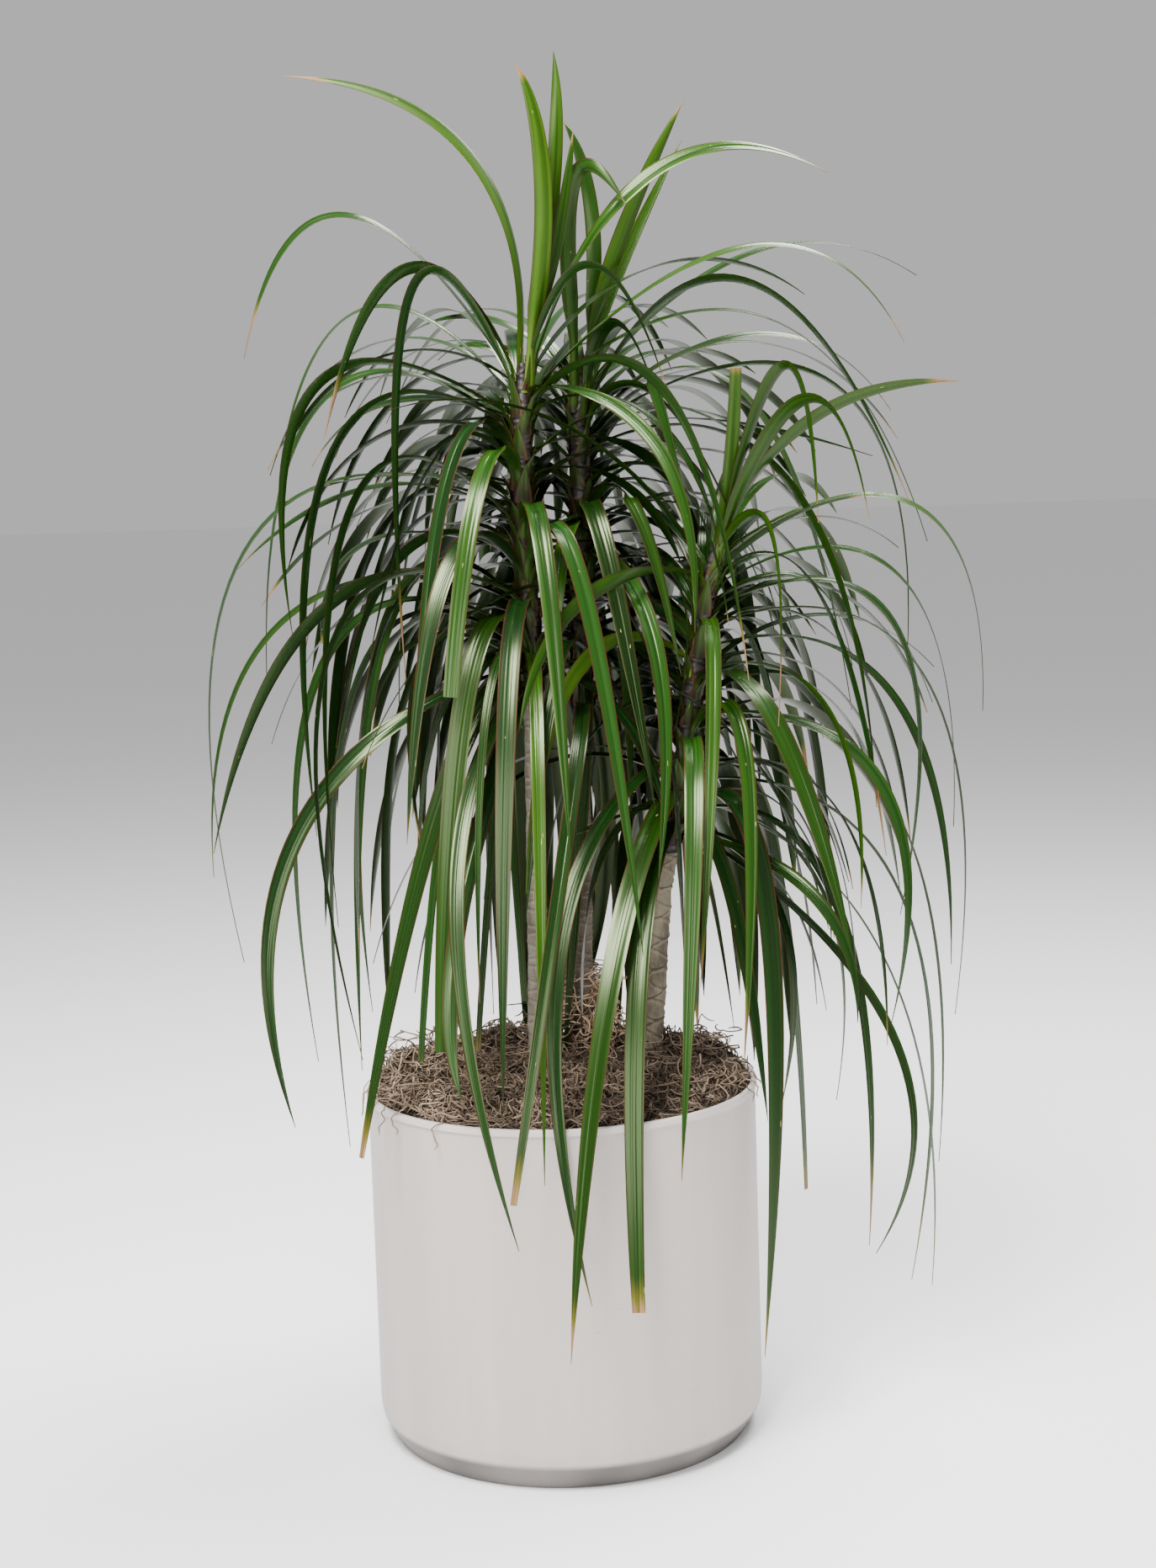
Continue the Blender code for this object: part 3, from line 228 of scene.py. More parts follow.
# How such leaves grow: how far they spread sideways, where most are listed, then from the
# lowest leaf to the topmost: degrees above level, turn for each metre of level run, length,
# width; how much the lengths vary; and how far forward they may point, where 0 is sideways
# and -1 ahead: the others go to the back instead
Habit = namedtuple("Habit", "sideways launch droop length width vary forward",
                   defaults=((0.75, 1.1), -0.3))
ARCHING = Habit(0.55, (24.0, 58.0), (8.0, 6.0), (0.44, 0.34), (0.016, 0.013))
HANGING = Habit(1.0, (4.0, 44.0), (14.0, 8.5), (0.40, 0.42), (0.018, 0.015), (0.45, 1.25), -0.25)
FILL_LOW, FILL_HIGH = 1.5, 1.0      # bare length at the two ends of a stem, in cm
FILL_CENTRE = (4.0, 70.0)           # the oval, as seen and in cm, that these leaves stay in
FILL_HALF = (32.0, 43.0)

# Sideways moves along the line of sight that a leaf may take to pass its neighbours, in cm,
# and the shares of such a move that its bend may take
SIDESTEPS = (0, 1.5, -1.5, 3, -3, 4.5, -4.5, 6, -6, 8, -8, 10, -10, 12, 14)
BEND_SHARES = (1.0, 0.4, 0.0)

# How a leaf looks that doesn't have the colour of its age: how young, from 0 (oldest, darkest)
# to 1, where along its length it has turned dry, and where its dressed blade faces the viewer
# more squarely than the solid one, how squarely. Below by its place in the table
Look = namedtuple("Look", "young dry face", defaults=(None,))
LOOKS = {
    "left": {
        0: (0.75, 1.1), 1: (0.85, 0.93), 2: (0.6, 0.97), 3: (0.65, 0.93), 4: (0.4, 0.93), 5: (0.35, 0.92),
        6: (0.4, 0.95), 14: (0.05, 1.1, 0.95), 17: (0.12, 1.1, 0.3), 21: (0.45, 1.04), 22: (0.35, 1.1),
        24: (0.2, 1.1), 26: (0.08, 0.985), 34: (0.7, 1.02), 35: (0.42, 1.1), 37: (0.45, 0.97),
        38: (0.55, 0.98), 39: (0.45, 0.95), 44: (0.02, 1.0), 45: (0.02, 1.0), 46: (0.35, 1.02),
        47: (0.1, 1.0),
    },
    "middle": {
        0: (0.02, 0.985), 1: (0.10, 1.1), 2: (0.5, 1.1), 3: (0.0, 1.1), 4: (0.35, 1.1), 5: (0.12, 1.1),
        6: (0.5, 0.99), 7: (0.5, 0.99), 8: (0.8, 0.96), 9: (0.7, 0.97), 10: (0.35, 0.97), 20: (0.0, 1.1),
        24: (0.25, 1.1), 25: (0.0, 1.1),
    },
    "right": {
        0: (0.7, 0.99), 1: (0.45, 0.98), 2: (0.6, 0.93), 3: (0.6, 0.97), 4: (0.7, 0.9), 8: (0.4, 0.9),
        9: (0.55, 0.97), 15: (0.25, 1.1), 22: (0.2, 0.95), 23: (0.1, 0.985), 24: (0.45, 0.955),
        25: (0.4, 0.97), 26: (0.45, 0.99), 27: (0.15, 0.965), 28: (0.18, 0.99), 31: (0.0, 1.1),
        33: (0.05, 1.0), 36: (0.42, 1.1, 0.8), 40: (0.05, 1.1),
    },
}
# Seen leaves that the solids leave out, each with its look
SEEN_LATE = (
    ("right", (70.8, 2.9, 70.6, -2.7, 50, 13, 1.4, 0.8), (0.95, 1.02)),
)


def blend(start, end, share):
    return start + (end - start) * share


def polar(radius, angle, height=0):
    """A point at a distance and a bearing from the upright axis."""
    return Vector((radius * math.cos(angle), radius * math.sin(angle), height))


def sighted(across, up, toward):
    """The point seen at (across, up) on the plane through the axis, moved towards the eye; cm."""
    seen = Vector((across * CM, 0, up * CM))
    return seen + (EYE - seen) * (toward * CM / -EYE.y)


def pot_radius(height):
    """Outer radius of the pot's wall at a height."""
    return blend(POT_FOOT_RADIUS, POT_RADIUS, height / POT_HEIGHT)


def pot_inside(height):
    """Inner radius of the pot at a height above its chamfer."""
    share = (height - INNER_CHAMFER_TOP) / (POT_HEIGHT - EDGE_ROUND - INNER_CHAMFER_TOP)
    return blend(pot_radius(CHAMFER_HEIGHT) - POT_WALL, POT_RADIUS - POT_WALL, share)


def moss_height(x, y):
    """Height of the mound's lumpy top at a place."""
    share = min(1.0, math.hypot(x, y) / pot_inside(MOSS_EDGE))
    height = MOSS_EDGE + MOSS_RISE * (1 - share ** 2)
    for tuft in TUFTS:
        away = math.hypot(x - tuft.x * CM, y - tuft.y * CM) / (tuft.spread * CM)
        height += tuft.rise * CM * math.exp(-away ** 2)
    ripple = math.cos(x * 160 + 1) * math.cos(y * 140) + 0.6 * math.cos(x * 290 + y * 260)
    return height + MOSS_RIPPLE * ripple * (1 - share ** 4)


def moss_skin(rings=MOSS_RINGS, sectors=MOSS_SECTORS):
    """Corners and faces of the mound, top and underside."""
    edge = pot_inside(MOSS_EDGE) - 2 * GAP
    verts = [Vector((0, 0, moss_height(0, 0)))]
    for ring in range(1, rings + 1):
        radius = edge * ring / rings
        for sector in range(sectors):
            angle = math.tau * (sector + 0.5 * (ring % 2)) / sectors
            x, y = radius * math.cos(angle), radius * math.sin(angle)
            verts.append(Vector((x, y, moss_height(x, y))))
    lowest = len(verts)
    for sector in range(sectors):
        angle = math.tau * (sector + 0.5 * (rings % 2)) / sectors
        verts.append(polar(pot_inside(SOIL_TOP) - 3 * GAP, angle, SOIL_TOP + GAP))
    faces = [(0, 1 + s, 1 + (s + 1) % sectors) for s in range(sectors)]
    for ring in range(1, rings):
        inner = 1 + (ring - 1) * sectors
        outer = inner + sectors
        for s in range(sectors):
            after = (s + 1) % sectors
            if ring % 2:
                faces += [(inner + s, outer + s, outer + after),
                          (inner + s, outer + after, inner + after)]
            else:
                faces += [(inner + s, outer + s, inner + after),
                          (outer + s, outer + after, inner + after)]
    top = lowest - sectors
    for s in range(sectors):
        after = (s + 1) % sectors
        faces += [(top + s, lowest + s, lowest + after), (top + s, lowest + after, top + after)]
    faces.append(tuple(lowest + s for s in reversed(range(sectors))))
    return verts, faces


def stem_top(cane):
    return cane.route[-1][1]


def along(cane, height):
    """The point of a cane's axis that is seen at a height."""
    for (x0, z0), (x1, z1) in zip(cane.route, cane.route[1:]):
        if height <= z1 or (x1, z1) == cane.route[-1]:
            return sighted(blend(x0, x1, (height - z0) / (z1 - z0)), height, -cane.behind)


def cane_points(cane, low, high, step):
    """Points along a cane between two seen heights, about a step apart."""
    count = max(2, round((high - low) * CM / step))
    return [along(cane, low + (high - low) * i / count) for i in range(count + 1)]


def cane_line(cane):
    """Points and radii of a bare cane from its foot in the soil, with its scar swellings."""
    points = cane_points(cane, cane.route[0][1], cane.leafy_from, CANE_STEP / 2)
    foot = Vector((points[0].x, points[0].y, CANE_FOOT))
    points.insert(0, foot)
    top = points[-1].z
    radii = []
    for number, point in enumerate(points):
        share = (point.z - foot.z) / (top - foot.z)
        plain = blend(CANE_FOOT_RADIUS, CANE_RADIUS, min(1, share * FOOT_TAPER))
        swell = SCAR_SWELL if number % 2 else -SCAR_SWELL
        radii.append(plain * (1 + (swell if 1 < number < len(points) - 1 else 0)))
    return points, radii


def stem_line(cane):
    """Points and radii of the leaf-bearing stem that stands on a cane."""
    points = cane_points(cane, cane.leafy_from, stem_top(cane), STEM_STEP)
    points[0] = points[0] + (points[1] - points[0]).normalized() * GAP
    return points, [STEM_RADIUS] * (len(points) - 1) + [STEM_TIP_RADIUS]


def arc(root, bend, tip, count):
    """Points of a smooth arc from root to tip that passes the bend half way."""
    elbow = (bend * 8 - root - tip) / 6
    leave = elbow + (root - tip) * ARC_FULLNESS
    arrive = elbow - (root - tip) * ARC_FULLNESS
    points = []
    for i in range(count + 1):
        t = i / count
        s = 1 - t
        points.append(root * s ** 3 + leave * 3 * s * s * t + arrive * 3 * s * t * t + tip * t ** 3)
    return points


def strip(root, azimuth, launch, droop, length, count):
    """Points of a strap that leaves its root at an angle and bends under its own weight."""
    start = math.atanh(math.sin(launch))
    points = []
    for i in range(count + 1):
        here = start - droop * length * i / count
        reach = (launch - math.asin(math.tanh(here))) / droop
        rise = (math.log(math.cosh(start)) - math.log(math.cosh(here))) / droop
        points.append(root + polar(reach, azimuth, rise))
    return points


def width_share(t, cut_share, flare=ROOT_FLARE, taper=3):
    """Width of a blade along its length, as a share of its full width."""
    return min(1.0, ROOT_SHARE + flare * t) * (1 - (1 - cut_share) * t ** taper)


def blade_sides(points, face, twist):
    """Across and upper directions of a blade at each of its points."""
    run = points[len(points) // 2] - points[0]
    level = Vector((-run.y, run.x, 0)).normalized()
    sides = []
    before = None
    last = len(points) - 1
    for i, point in enumerate(points):
        tangent = (points[min(i + 1, last)] - points[max(i - 1, 0)]).normalized()
        across = (level - tangent * level.dot(tangent)).normalized()
        shown = tangent.cross(EYE - point).normalized()
        if shown.dot(before or across) < 0:
            shown = -shown
        weight = face * min(1, FACE_EASE * i / last)
        across = across.lerp(shown, weight)
        across = (across - tangent * across.dot(tangent)).normalized()
        upper = tangent.cross(across).normalized()
        angle = twist * i / last
        turned_across = across * math.cos(angle) + upper * math.sin(angle)
        upper = tangent.cross(turned_across).normalized()
        if upper.dot(Vector((0, 0, 1))) < 0 and i == 0:
            level, turned_across, upper = -level, -turned_across, -upper
        before = turned_across
        sides.append((turned_across, upper))
    return sides


def blade_solid(points, width, cut_share, face, twist, swell):
    """Corners and triangles of a plain blade with a skin of air, to test others against."""
    sides = blade_sides(points, face, twist)
    half_thick = BLADE_THICKNESS / 2 + swell
    last = len(points) - 1
    verts = []
    for i, (point, (across, upper)) in enumerate(zip(points, sides)):
        out = across * (max(TIP_WIDTH, width * width_share(i / last, cut_share)) / 2 + swell)
        up = upper * half_thick
        verts += [point - out + up, point + out + up, point + out - up, point - out - up]
    faces = [(0, 1, 2), (0, 2, 3)]
    for i in range(last):
        a = 4 * i
        b = a + 4
        if i % 2:
            top = [(a, b, b + 1), (a, b + 1, a + 1)]
            low = [(a + 3, a + 2, b + 2), (a + 3, b + 2, b + 3)]
        else:
            top = [(a, b, a + 1), (b, b + 1, a + 1)]
            low = [(a + 3, a + 2, b + 3), (b + 3, a + 2, b + 2)]
        side = [(a + 1, b + 1, b + 2), (a + 1, b + 2, a + 2), (a, a + 3, b + 3), (a, b + 3, b)]
        faces += top + low + side
    end = 4 * last
    faces += [(end, end + 3, end + 2), (end, end + 2, end + 1)]
    return verts, faces


def tree_of(verts, faces):
    return BVHTree.FromPolygons([tuple(v) for v in verts], faces)


class Placed:
    """A blade in its place: curve gives its path in as many lengths as asked."""

    def __init__(self, crown, curve, count, width, cut_share, face, twist, root, look=None):
        self.crown, self.curve, self.root, self.look = crown, curve, root, look
        self.width, self.cut_share, self.face, self.twist = width, cut_share, face, twist
        verts, faces = blade_solid(curve(count), width, cut_share, face, twist, CLEARANCE / 2)
        self.whole = tree_of(verts, faces)
        self.outer = tree_of(verts, faces[ROOT_FACES:])
        self.low = [min(v[k] for v in verts) for k in range(3)]
        self.high = [max(v[k] for v in verts) for k in range(3)]

    def near(self, other):
        return all(self.low[k] <= other.high[k] and other.low[k] <= self.high[k] for k in range(3))

    def crosses(self, other):
        if not self.near(other):
            return False
        if self.crown == other.crown:
            return bool(self.outer.overlap(other.outer))
        return bool(self.whole.overlap(other.whole))


def ring_quads(rings, sides, first=0):
    """Faces between rings of corners, one ring after the other from the corner numbered first."""
    faces = []
    for ring in range(rings - 1):
        start = first + ring * sides
        for side in range(sides):
            a, b = start + side, start + (side + 1) % sides
            faces.append((a, b, b + sides, a + sides))
    return faces


def ring_skin(points, radii, sides):
    """Corners and faces of level rings joined one above the other."""
    verts = [point + polar(radius, math.tau * side / sides)
             for point, radius in zip(points, radii) for side in range(sides)]
    quads = ring_quads(len(points), sides)
    return verts, [part for a, b, c, d in quads for part in ((a, b, c), (a, c, d))]


def pot_skin():
    """The pot's outside and the top of its wall, with air round them."""
    rings = [(0, POT_RADIUS + GAP), (POT_HEIGHT + GAP, POT_RADIUS + GAP),
             (POT_HEIGHT + GAP, POT_RADIUS - POT_WALL - GAP), (MOSS_EDGE, POT_RADIUS - POT_WALL)]
    points = [Vector((0, 0, height)) for height, radius in rings]
    return ring_skin(points, [radius for height, radius in rings], POT_SIDES)


class Grove:
    """Every leaf in its place, each one bent clear of what stands there already."""

    def __init__(self):
        self.fixed = [tree_of(*pot_skin()), tree_of(*moss_skin())]
        self.stems = {}
        for cane in CANES:
            points, radii = cane_line(cane)
            self.fixed.append(tree_of(*ring_skin(points, radii, GUIDE_SIDES)))
            points, radii = stem_line(cane)
            self.stems[cane.name] = tree_of(*ring_skin(points, radii, GUIDE_SIDES))
        self.placed = []

    def meets(self, blade):
        """0 where a blade is clear, 1 where it crosses its own crown only, 2 where others."""
        if any(blade.whole.overlap(tree) for tree in self.fixed):
            return 2
        for name, tree in self.stems.items():
            own = name == blade.crown
            if (blade.outer if own else blade.whole).overlap(tree):
                return 2
        own_crossed = False
        for other in self.placed:
            if blade.crosses(other):
                if other.crown != blade.crown:
                    return 2
                own_crossed = True
        return 1 if own_crossed else 0

    def settle(self, tries):
        """Keep the first try that is clear, or else the first that only its own crown meets."""
        spare = None
        for blade in tries:
            state = self.meets(blade)
            if state == 0:
                self.placed.append(blade)
                return
            if state == 1 and spare is None:
                spare = blade
        if spare is not None:
            self.placed.append(spare)

    def fill(self, habit, shares):
        """Place the leaves of the growth rule, one stem after the other."""
        for cane in CANES:
            count, seed = shares[cane.name]
            for number in range(count):
                self.settle(fill_tries(cane, number, count, habit, seed))


def root_point(cane, height, aim):
    """Where a blade leaves the stem, sunk below its surface on the side that it leaves from."""
    axis = along(cane, height)
    out = Vector((aim.x - axis.x, aim.y - axis.y, 0)).normalized()
    return axis + out * (STEM_RADIUS - ROOT_SUNK)


def leaf_tries(cane, leaf, look):
    """A seen leaf, first as it is and then moved along the line of sight."""
    for step in SIDESTEPS:
        for share in BEND_SHARES:
            toward = leaf.toward + step
            bend_toward = BEND_DEPTH_SHARE * leaf.toward - BEHIND_SHARE * cane.behind + step * share
            bend = sighted(leaf.bend_x, leaf.bend_z, bend_toward)
            tip = sighted(leaf.tip_x, leaf.tip_z, toward)
            root = root_point(cane, leaf.root, bend)

            def curve(count, root=root, bend=bend, tip=tip):
                return arc(root, bend, tip, count)

            yield Placed(cane.name, curve, SEEN_SEGMENTS, leaf.width * CM, leaf.cut, leaf.face, 0,
                         leaf.root, look)
            if step == 0:
                break


def inside_oval(point):
    """Whether a point is seen inside the oval that the leaves of the growth rule stay in."""
    share = EYE.y / (EYE.y - point.y)
    offset_x = (blend(EYE.x, point.x, share) / CM - FILL_CENTRE[0]) / FILL_HALF[0]
    offset_z = (blend(EYE.z, point.z, share) / CM - FILL_CENTRE[1]) / FILL_HALF[1]
    return offset_x ** 2 + offset_z ** 2 < 1


def fill_tries(cane, number, count, habit, seed):
    """A leaf of the growth rule, first in its place and then turned and bent a little."""
    draw = random.Random(seed + number)
    age = (number + 0.5) / count
    height = blend(cane.leafy_from + FILL_LOW, stem_top(cane) - FILL_HIGH, age)
    turned_to = number * GOLDEN_ANGLE
    azimuth = math.atan2(math.sin(turned_to), habit.sideways * math.cos(turned_to))
    if math.sin(azimuth) < habit.forward:
        azimuth = -azimuth
    for trial in range(FILL_TRIES):
        loose = min(1, FILL_FIRST_LOOSENESS + trial / FILL_TRIES)
        turn = azimuth + FILL_SPREAD * draw.uniform(-1, 1) * loose
        launch = math.radians(blend(*habit.launch, age) + draw.uniform(*FILL_TILT) * loose)
        droop = blend(*habit.droop, age) * draw.uniform(*FILL_DROOP_VARY)
        length = blend(*habit.length, age) * draw.uniform(*habit.vary)
        width = blend(*habit.width, age) * draw.uniform(*FILL_WIDTH_VARY)
        twist = draw.uniform(-FILL_TWIST, FILL_TWIST)
        root = root_point(cane, height, along(cane, height) + polar(1, turn))

        def curve(count, root=root, turn=turn, launch=launch, droop=droop, length=length):
            return strip(root, turn, launch, droop, length, count)

        if all(inside_oval(point) for point in curve(FILL_SEGMENTS)):
            yield Placed(cane.name, curve, FILL_SEGMENTS, width, 0, 0, twist, height)


def grown():
    """All the leaves: those of the table, those of the growth rule, then the inner ones."""
    grove = Grove()
    for cane in CANES:
        for number, row in enumerate(LEAVES[cane.name]):
            look = LOOKS[cane.name].get(number)
            grove.settle(leaf_tries(cane, Leaf(*row), look and Look(*look)))
    grove.fill(ARCHING, OUTER)
    canes = {cane.name: cane for cane in CANES}
    for name, row, look in SEEN_LATE:
        grove.settle(leaf_tries(canes[name], Leaf(*row), Look(*look)))
    grove.fill(ARCHING, INNER)
    grove.fill(HANGING, CLOSE)
    return grove


class Value:
    """An output of a node, for maths in plain expressions."""

    def __init__(self, nodes, socket):
        self.nodes, self.socket = nodes, socket

    def __add__(self, other):
        return self.nodes.math("ADD", self, other)

    def __sub__(self, other):
        return self.nodes.math("SUBTRACT", self, other)

    def __rsub__(self, other):
        return self.nodes.math("SUBTRACT", other, self)

    def __mul__(self, other):
        return self.nodes.math("MULTIPLY", self, other)

    def __pow__(self, other):
        return self.nodes.math("POWER", self, other)

    __radd__ = __add__
    __rmul__ = __mul__


class Nodes:
    """A node tree, with one method that adds any node."""

    def __init__(self, tree):
        self.tree = tree

    def add(self, kind, sockets=(), out=0, **settings):
        """Set up a new node, fill or link its sockets, and give back one of its outputs."""
        node = self.tree.nodes.new(kind)
        for name, value in settings.items():
            if name == "stops":
                ramp = node.color_ramp
                while len(ramp.elements) < len(value):
                    ramp.elements.new(0.5)
                for element, (place, colour) in zip(ramp.elements, value):
                    element.position = place
                    element.color = (*colour, 1)
            else:
                setattr(node, name, value)
        for key, value in sockets.items() if isinstance(sockets, dict) else enumerate(sockets):
            if isinstance(value, Value):
                self.tree.links.new(value.socket, node.inputs[key])
            else:
                node.inputs[key].default_value = value
        return Value(self, node.outputs[out]) if node.outputs else None

    def math(self, operation, *values):
        return self.add("ShaderNodeMath", values, operation=operation)

    def vector(self, operation, *values, scale=None):
        sockets = dict(enumerate(values))
        if scale is not None:
            sockets["Scale"] = scale
        return self.add("ShaderNodeVectorMath", sockets, operation=operation)

    def together(self, x, y, z):
        return self.add("ShaderNodeCombineXYZ", (x, y, z))

    def axis(self, vector, number):
        return self.add("ShaderNodeSeparateXYZ", [vector], out=number)

    def noise(self, vector, scale, detail=2.0, roughness=0.5, out="Fac", stretch=None):
        if stretch:
            vector = self.vector("MULTIPLY", vector, stretch)
        sockets = {"Vector": vector, "Scale": scale, "Detail": detail, "Roughness": roughness}
        return self.add("ShaderNodeTexNoise", sockets, out=out)

    def step(self, value, low, high):
        """0 up to low, 1 from high on, and a soft rise between them."""
        sockets = {"Value": value, "From Min": low, "From Max": high}
        return self.add("ShaderNodeMapRange", sockets, interpolation_type="SMOOTHSTEP")


def times(colour, *factors):
    """A colour with all its channels taken times one factor, or each times its own."""
    return tuple(min(1, c * k) for c, k in zip(colour, factors * 3 if len(factors) == 1 else factors))


class Finish(Nodes):
    """A material, from expressions on what it reads of its piece."""

    def __init__(self, name, colour):
        self.material = bpy.data.materials.new(name)
        self.material.use_nodes = True
        self.material.diffuse_color = (*colour, 1)
        super().__init__(self.material.node_tree)
        self.tree.nodes.clear()

    def place(self):
        return self.add("ShaderNodeTexCoord", out="Object")

    def told(self, name):
        """A number that the piece's own attribute holds."""
        return self.add("ShaderNodeAttribute", attribute_name=name, out="Fac")

    def mix(self, share, first, second, blend_type="MIX"):
        colours = [(*c, 1) if isinstance(c, tuple) else c for c in (first, second)]
        return self.add("ShaderNodeMix", {0: share, 6: colours[0], 7: colours[1]}, out=2,
                        data_type="RGBA", blend_type=blend_type)

    def coats(self, colour, *coats):
        """A colour with others over it: the share of each, the colour and maybe a blend type."""
        for share, *coat in coats:
            colour = self.mix(share, colour, *coat)
        return colour

    def ramp(self, value, *stops):
        return self.add("ShaderNodeValToRGB", [value], stops=stops)

    def bump(self, height, depth, strength=1.0):
        sockets = {"Height": height, "Distance": depth, "Strength": strength}
        return self.add("ShaderNodeBump", sockets)

    def surface(self, **sockets):
        named = {name.replace("_", " "): value for name, value in sockets.items()}
        shader = self.add("ShaderNodeBsdfPrincipled", named)
        self.add("ShaderNodeOutputMaterial", [shader])
        return self.material


def pot_finish(look):
    """Matte off-white plastic with specks and scuffs, faint upright streaks of painted reflection, a
    painted highlight on the bead at the rim, a painted shadow under it and painted shade over the foot.
    """
    body = tuple(look.pot_colour)
    f = Finish("pot_shell", body)
    place = f.place()
    height = f.axis(place, 2)
    bead = POT_HEIGHT - BEAD_HEIGHT
    # Upright streaks of painted reflection, a little darker than the body
    reflection_streaks = f.noise(place, 1.0, 3.0, 0.55, stretch=(26.0, 26.0, 1.1))
    clouds = f.noise(place, 7.0)
    specks = f.step(f.noise(place, 420.0, 1.0), 0.735, 0.78)
    marks = f.step(f.noise(place, 1.0, stretch=(60.0, 60.0, 210.0)), 0.70, 0.74)
    marks = marks * f.step(f.noise(place, 9.0), 0.56, 0.66)
    # Painted highlight: the bead at the rim and everything above it lighter
    lip_highlight = f.step(height, bead, bead + 0.001)
    # Painted shadow in a thin band just under the bead
    groove_shadow = f.step(height, bead - 0.0022, bead - 0.0008)
    # Painted shade over the chamfered foot, made uneven by noise
    foot = f.step(height, CHAMFER_HEIGHT + 0.0035, CHAMFER_HEIGHT - 0.0045)
    uneven_foot_shade = 0.72 + f.step(f.noise(place, 6.5, stretch=(1, 1, 0.2)), 0.35, 0.65) * 0.25
    colour = f.coats(
        f.mix(f.step(reflection_streaks, 0.35, 0.68), times(body, 0.90), body),
        (f.step(clouds, 0.3, 0.75) * 0.5, times(body, 0.93, 0.925, 0.93)),
        (specks * 0.35, times(body, 0.45)),
        (marks * 0.45, times(body, 0.5)),
        (lip_highlight, times(body, 1.12)),
        (groove_shadow * (1 - lip_highlight) * 0.35, times(body, 0.6)),
        (foot * uneven_foot_shade, times(body, 0.11)))
    bump = f.bump(f.noise(place, 900.0), 0.00012, 0.5)
    return f.surface(Base_Color=colour, Roughness=0.42 + clouds * 0.14, Normal=bump)


def soil_finish():
    """Crumbly dark potting mix."""
    f = Finish("potting_mix", (0.05, 0.034, 0.024))
    crumbs = f.noise(f.place(), 260.0, 5.0, 0.7)
    colour = f.ramp(crumbs, (0.3, (0.012, 0.008, 0.006)), (0.55, (0.05, 0.034, 0.024)),
                    (0.75, (0.13, 0.095, 0.07)))
    return f.surface(Base_Color=colour, Roughness=0.95, Normal=f.bump(crumbs, 0.002))


def moss_finish(look):
    """Dry moss strands: each one has its own tone, from dark brown to pale straw, with painted shade on
    the strands that lie low and painted light round the middle cane.
    """
    moss = tuple(look.moss_colour)
    f = Finish("dry_moss", moss)
    place = f.place()
    patch = f.step(f.noise(place, 11.0, 1.0) * 0.25 - f.axis(place, 0) * 1.3, 0.02, 0.34)
    mottle = f.noise(place, 240.0, 3.0)
    collar = (*COLLAR, POT_HEIGHT + COLLAR_RISE)
    away = f.add("ShaderNodeVectorMath", [place, collar], out=1, operation="DISTANCE")
    # Paler towards the left, and painted light round the middle cane where the moss climbs it
    paler_left_lit_collar = patch + f.step(away, 0.070, 0.030) * 0.9
    colour = f.coats(
        f.ramp(f.told("chance") * 0.84 + patch * 0.16,
               (0.0, times(moss, 0.22, 0.20, 0.19)), (0.25, times(moss, 0.70, 0.67, 0.65)),
               (0.65, times(moss, 1.5)), (0.93, times(moss, 2.5, 2.6, 2.7)),
               (0.985, (0.66, 0.58, 0.43))),
        (mottle * 0.4, times(moss, 0.5, 0.46, 0.43)),
        (1.0, f.mix(paler_left_lit_collar, (0.80, 0.77, 0.75), (0.84, 0.80, 0.76)), "MULTIPLY"),
        # Painted light: the moss round the middle cane made far brighter
        (f.step(away, 0.065, 0.030) * 0.9, (3.4, 3.4, 3.4), "MULTIPLY"),
        # Painted shade: strands that lie low in the layer, under the others, made dark
        (f.step(f.told("high"), 0.85, 0.10) * 0.9, times(moss, 0.16, 0.14, 0.12)))
    return f.surface(Base_Color=colour, Roughness=0.85, Normal=f.bump(mottle, 0.0006))


def moss_bed_finish(look):
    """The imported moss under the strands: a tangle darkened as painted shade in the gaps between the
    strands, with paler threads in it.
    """
    f = Finish("moss_bed", (0.05, 0.036, 0.028))
    place, moss = f.place(), tuple(look.moss_colour)
    drift = f.vector("SCALE", f.noise(place, 60.0, out="Color"), scale=0.02)
    tangle = f.noise(f.vector("ADD", place, drift), 170.0, 4.0, 0.7)
    # Mostly dark as painted shade in the gaps under the strands; the palest threads have the moss's own
    # tone
    colour = f.ramp(tangle, (0.38, times(moss, 0.10, 0.09, 0.08)),
                    (0.52, times(moss, 0.35, 0.32, 0.30)), (0.68, times(moss, 1.1)))
    return f.surface(Base_Color=colour, Roughness=0.95, Normal=f.bump(tangle, 0.004))


def cane_finish(name, bark):
    """Bark with leaf scars, darker in the scars' lines and mottled between them."""
    f = Finish("bark_" + name, bark.pale)
    place, scar = f.place(), f.told("scar")
    mottle = f.noise(place, 55.0, 5.0, 0.65, stretch=(1.0, 1.0, 0.45))
    fine = f.noise(place, 700.0, 3.0, 0.6, stretch=(1.0, 1.0, 0.25))
    colour = f.coats(
        f.mix(f.step(mottle, 0.38, 0.66), bark.pale, bark.brown),
        (f.step(fine, 0.45, 0.75) * 0.45, times(bark.brown, 0.55)),
        (f.step(scar, 0.3, 1.0) * bark.scarred, times(bark.brown, 0.42)),
        (f.step(scar, -0.2, -0.9) * 0.5, times(bark.pale, 1.35)))
    return f.surface(Base_Color=colour, Roughness=0.78 + mottle * 0.15,
                     Normal=f.bump(fine * 0.5 + mottle * 0.8, 0.0009))


def stem_finish():
    """The young stem between the leaf bases: dark and purplish, with pinkish leaf scars."""
    f = Finish("leafy_stem", STEM_BARK.pale)
    scar, mottle = f.told("scar"), f.noise(f.place(), 120.0, 3.0)
    colour = f.coats(
        f.mix(mottle, STEM_BARK.brown, STEM_BARK.pale),
        (f.step(scar, 0.55, 1.0) * 0.8 * mottle, (0.16, 0.075, 0.065)),
        (f.step(scar, -0.2, -0.9) * STEM_BARK.scarred, (0.004, 0.003, 0.003)))
    return f.surface(Base_Color=colour, Roughness=0.55, Normal=f.bump(mottle, 0.0008))


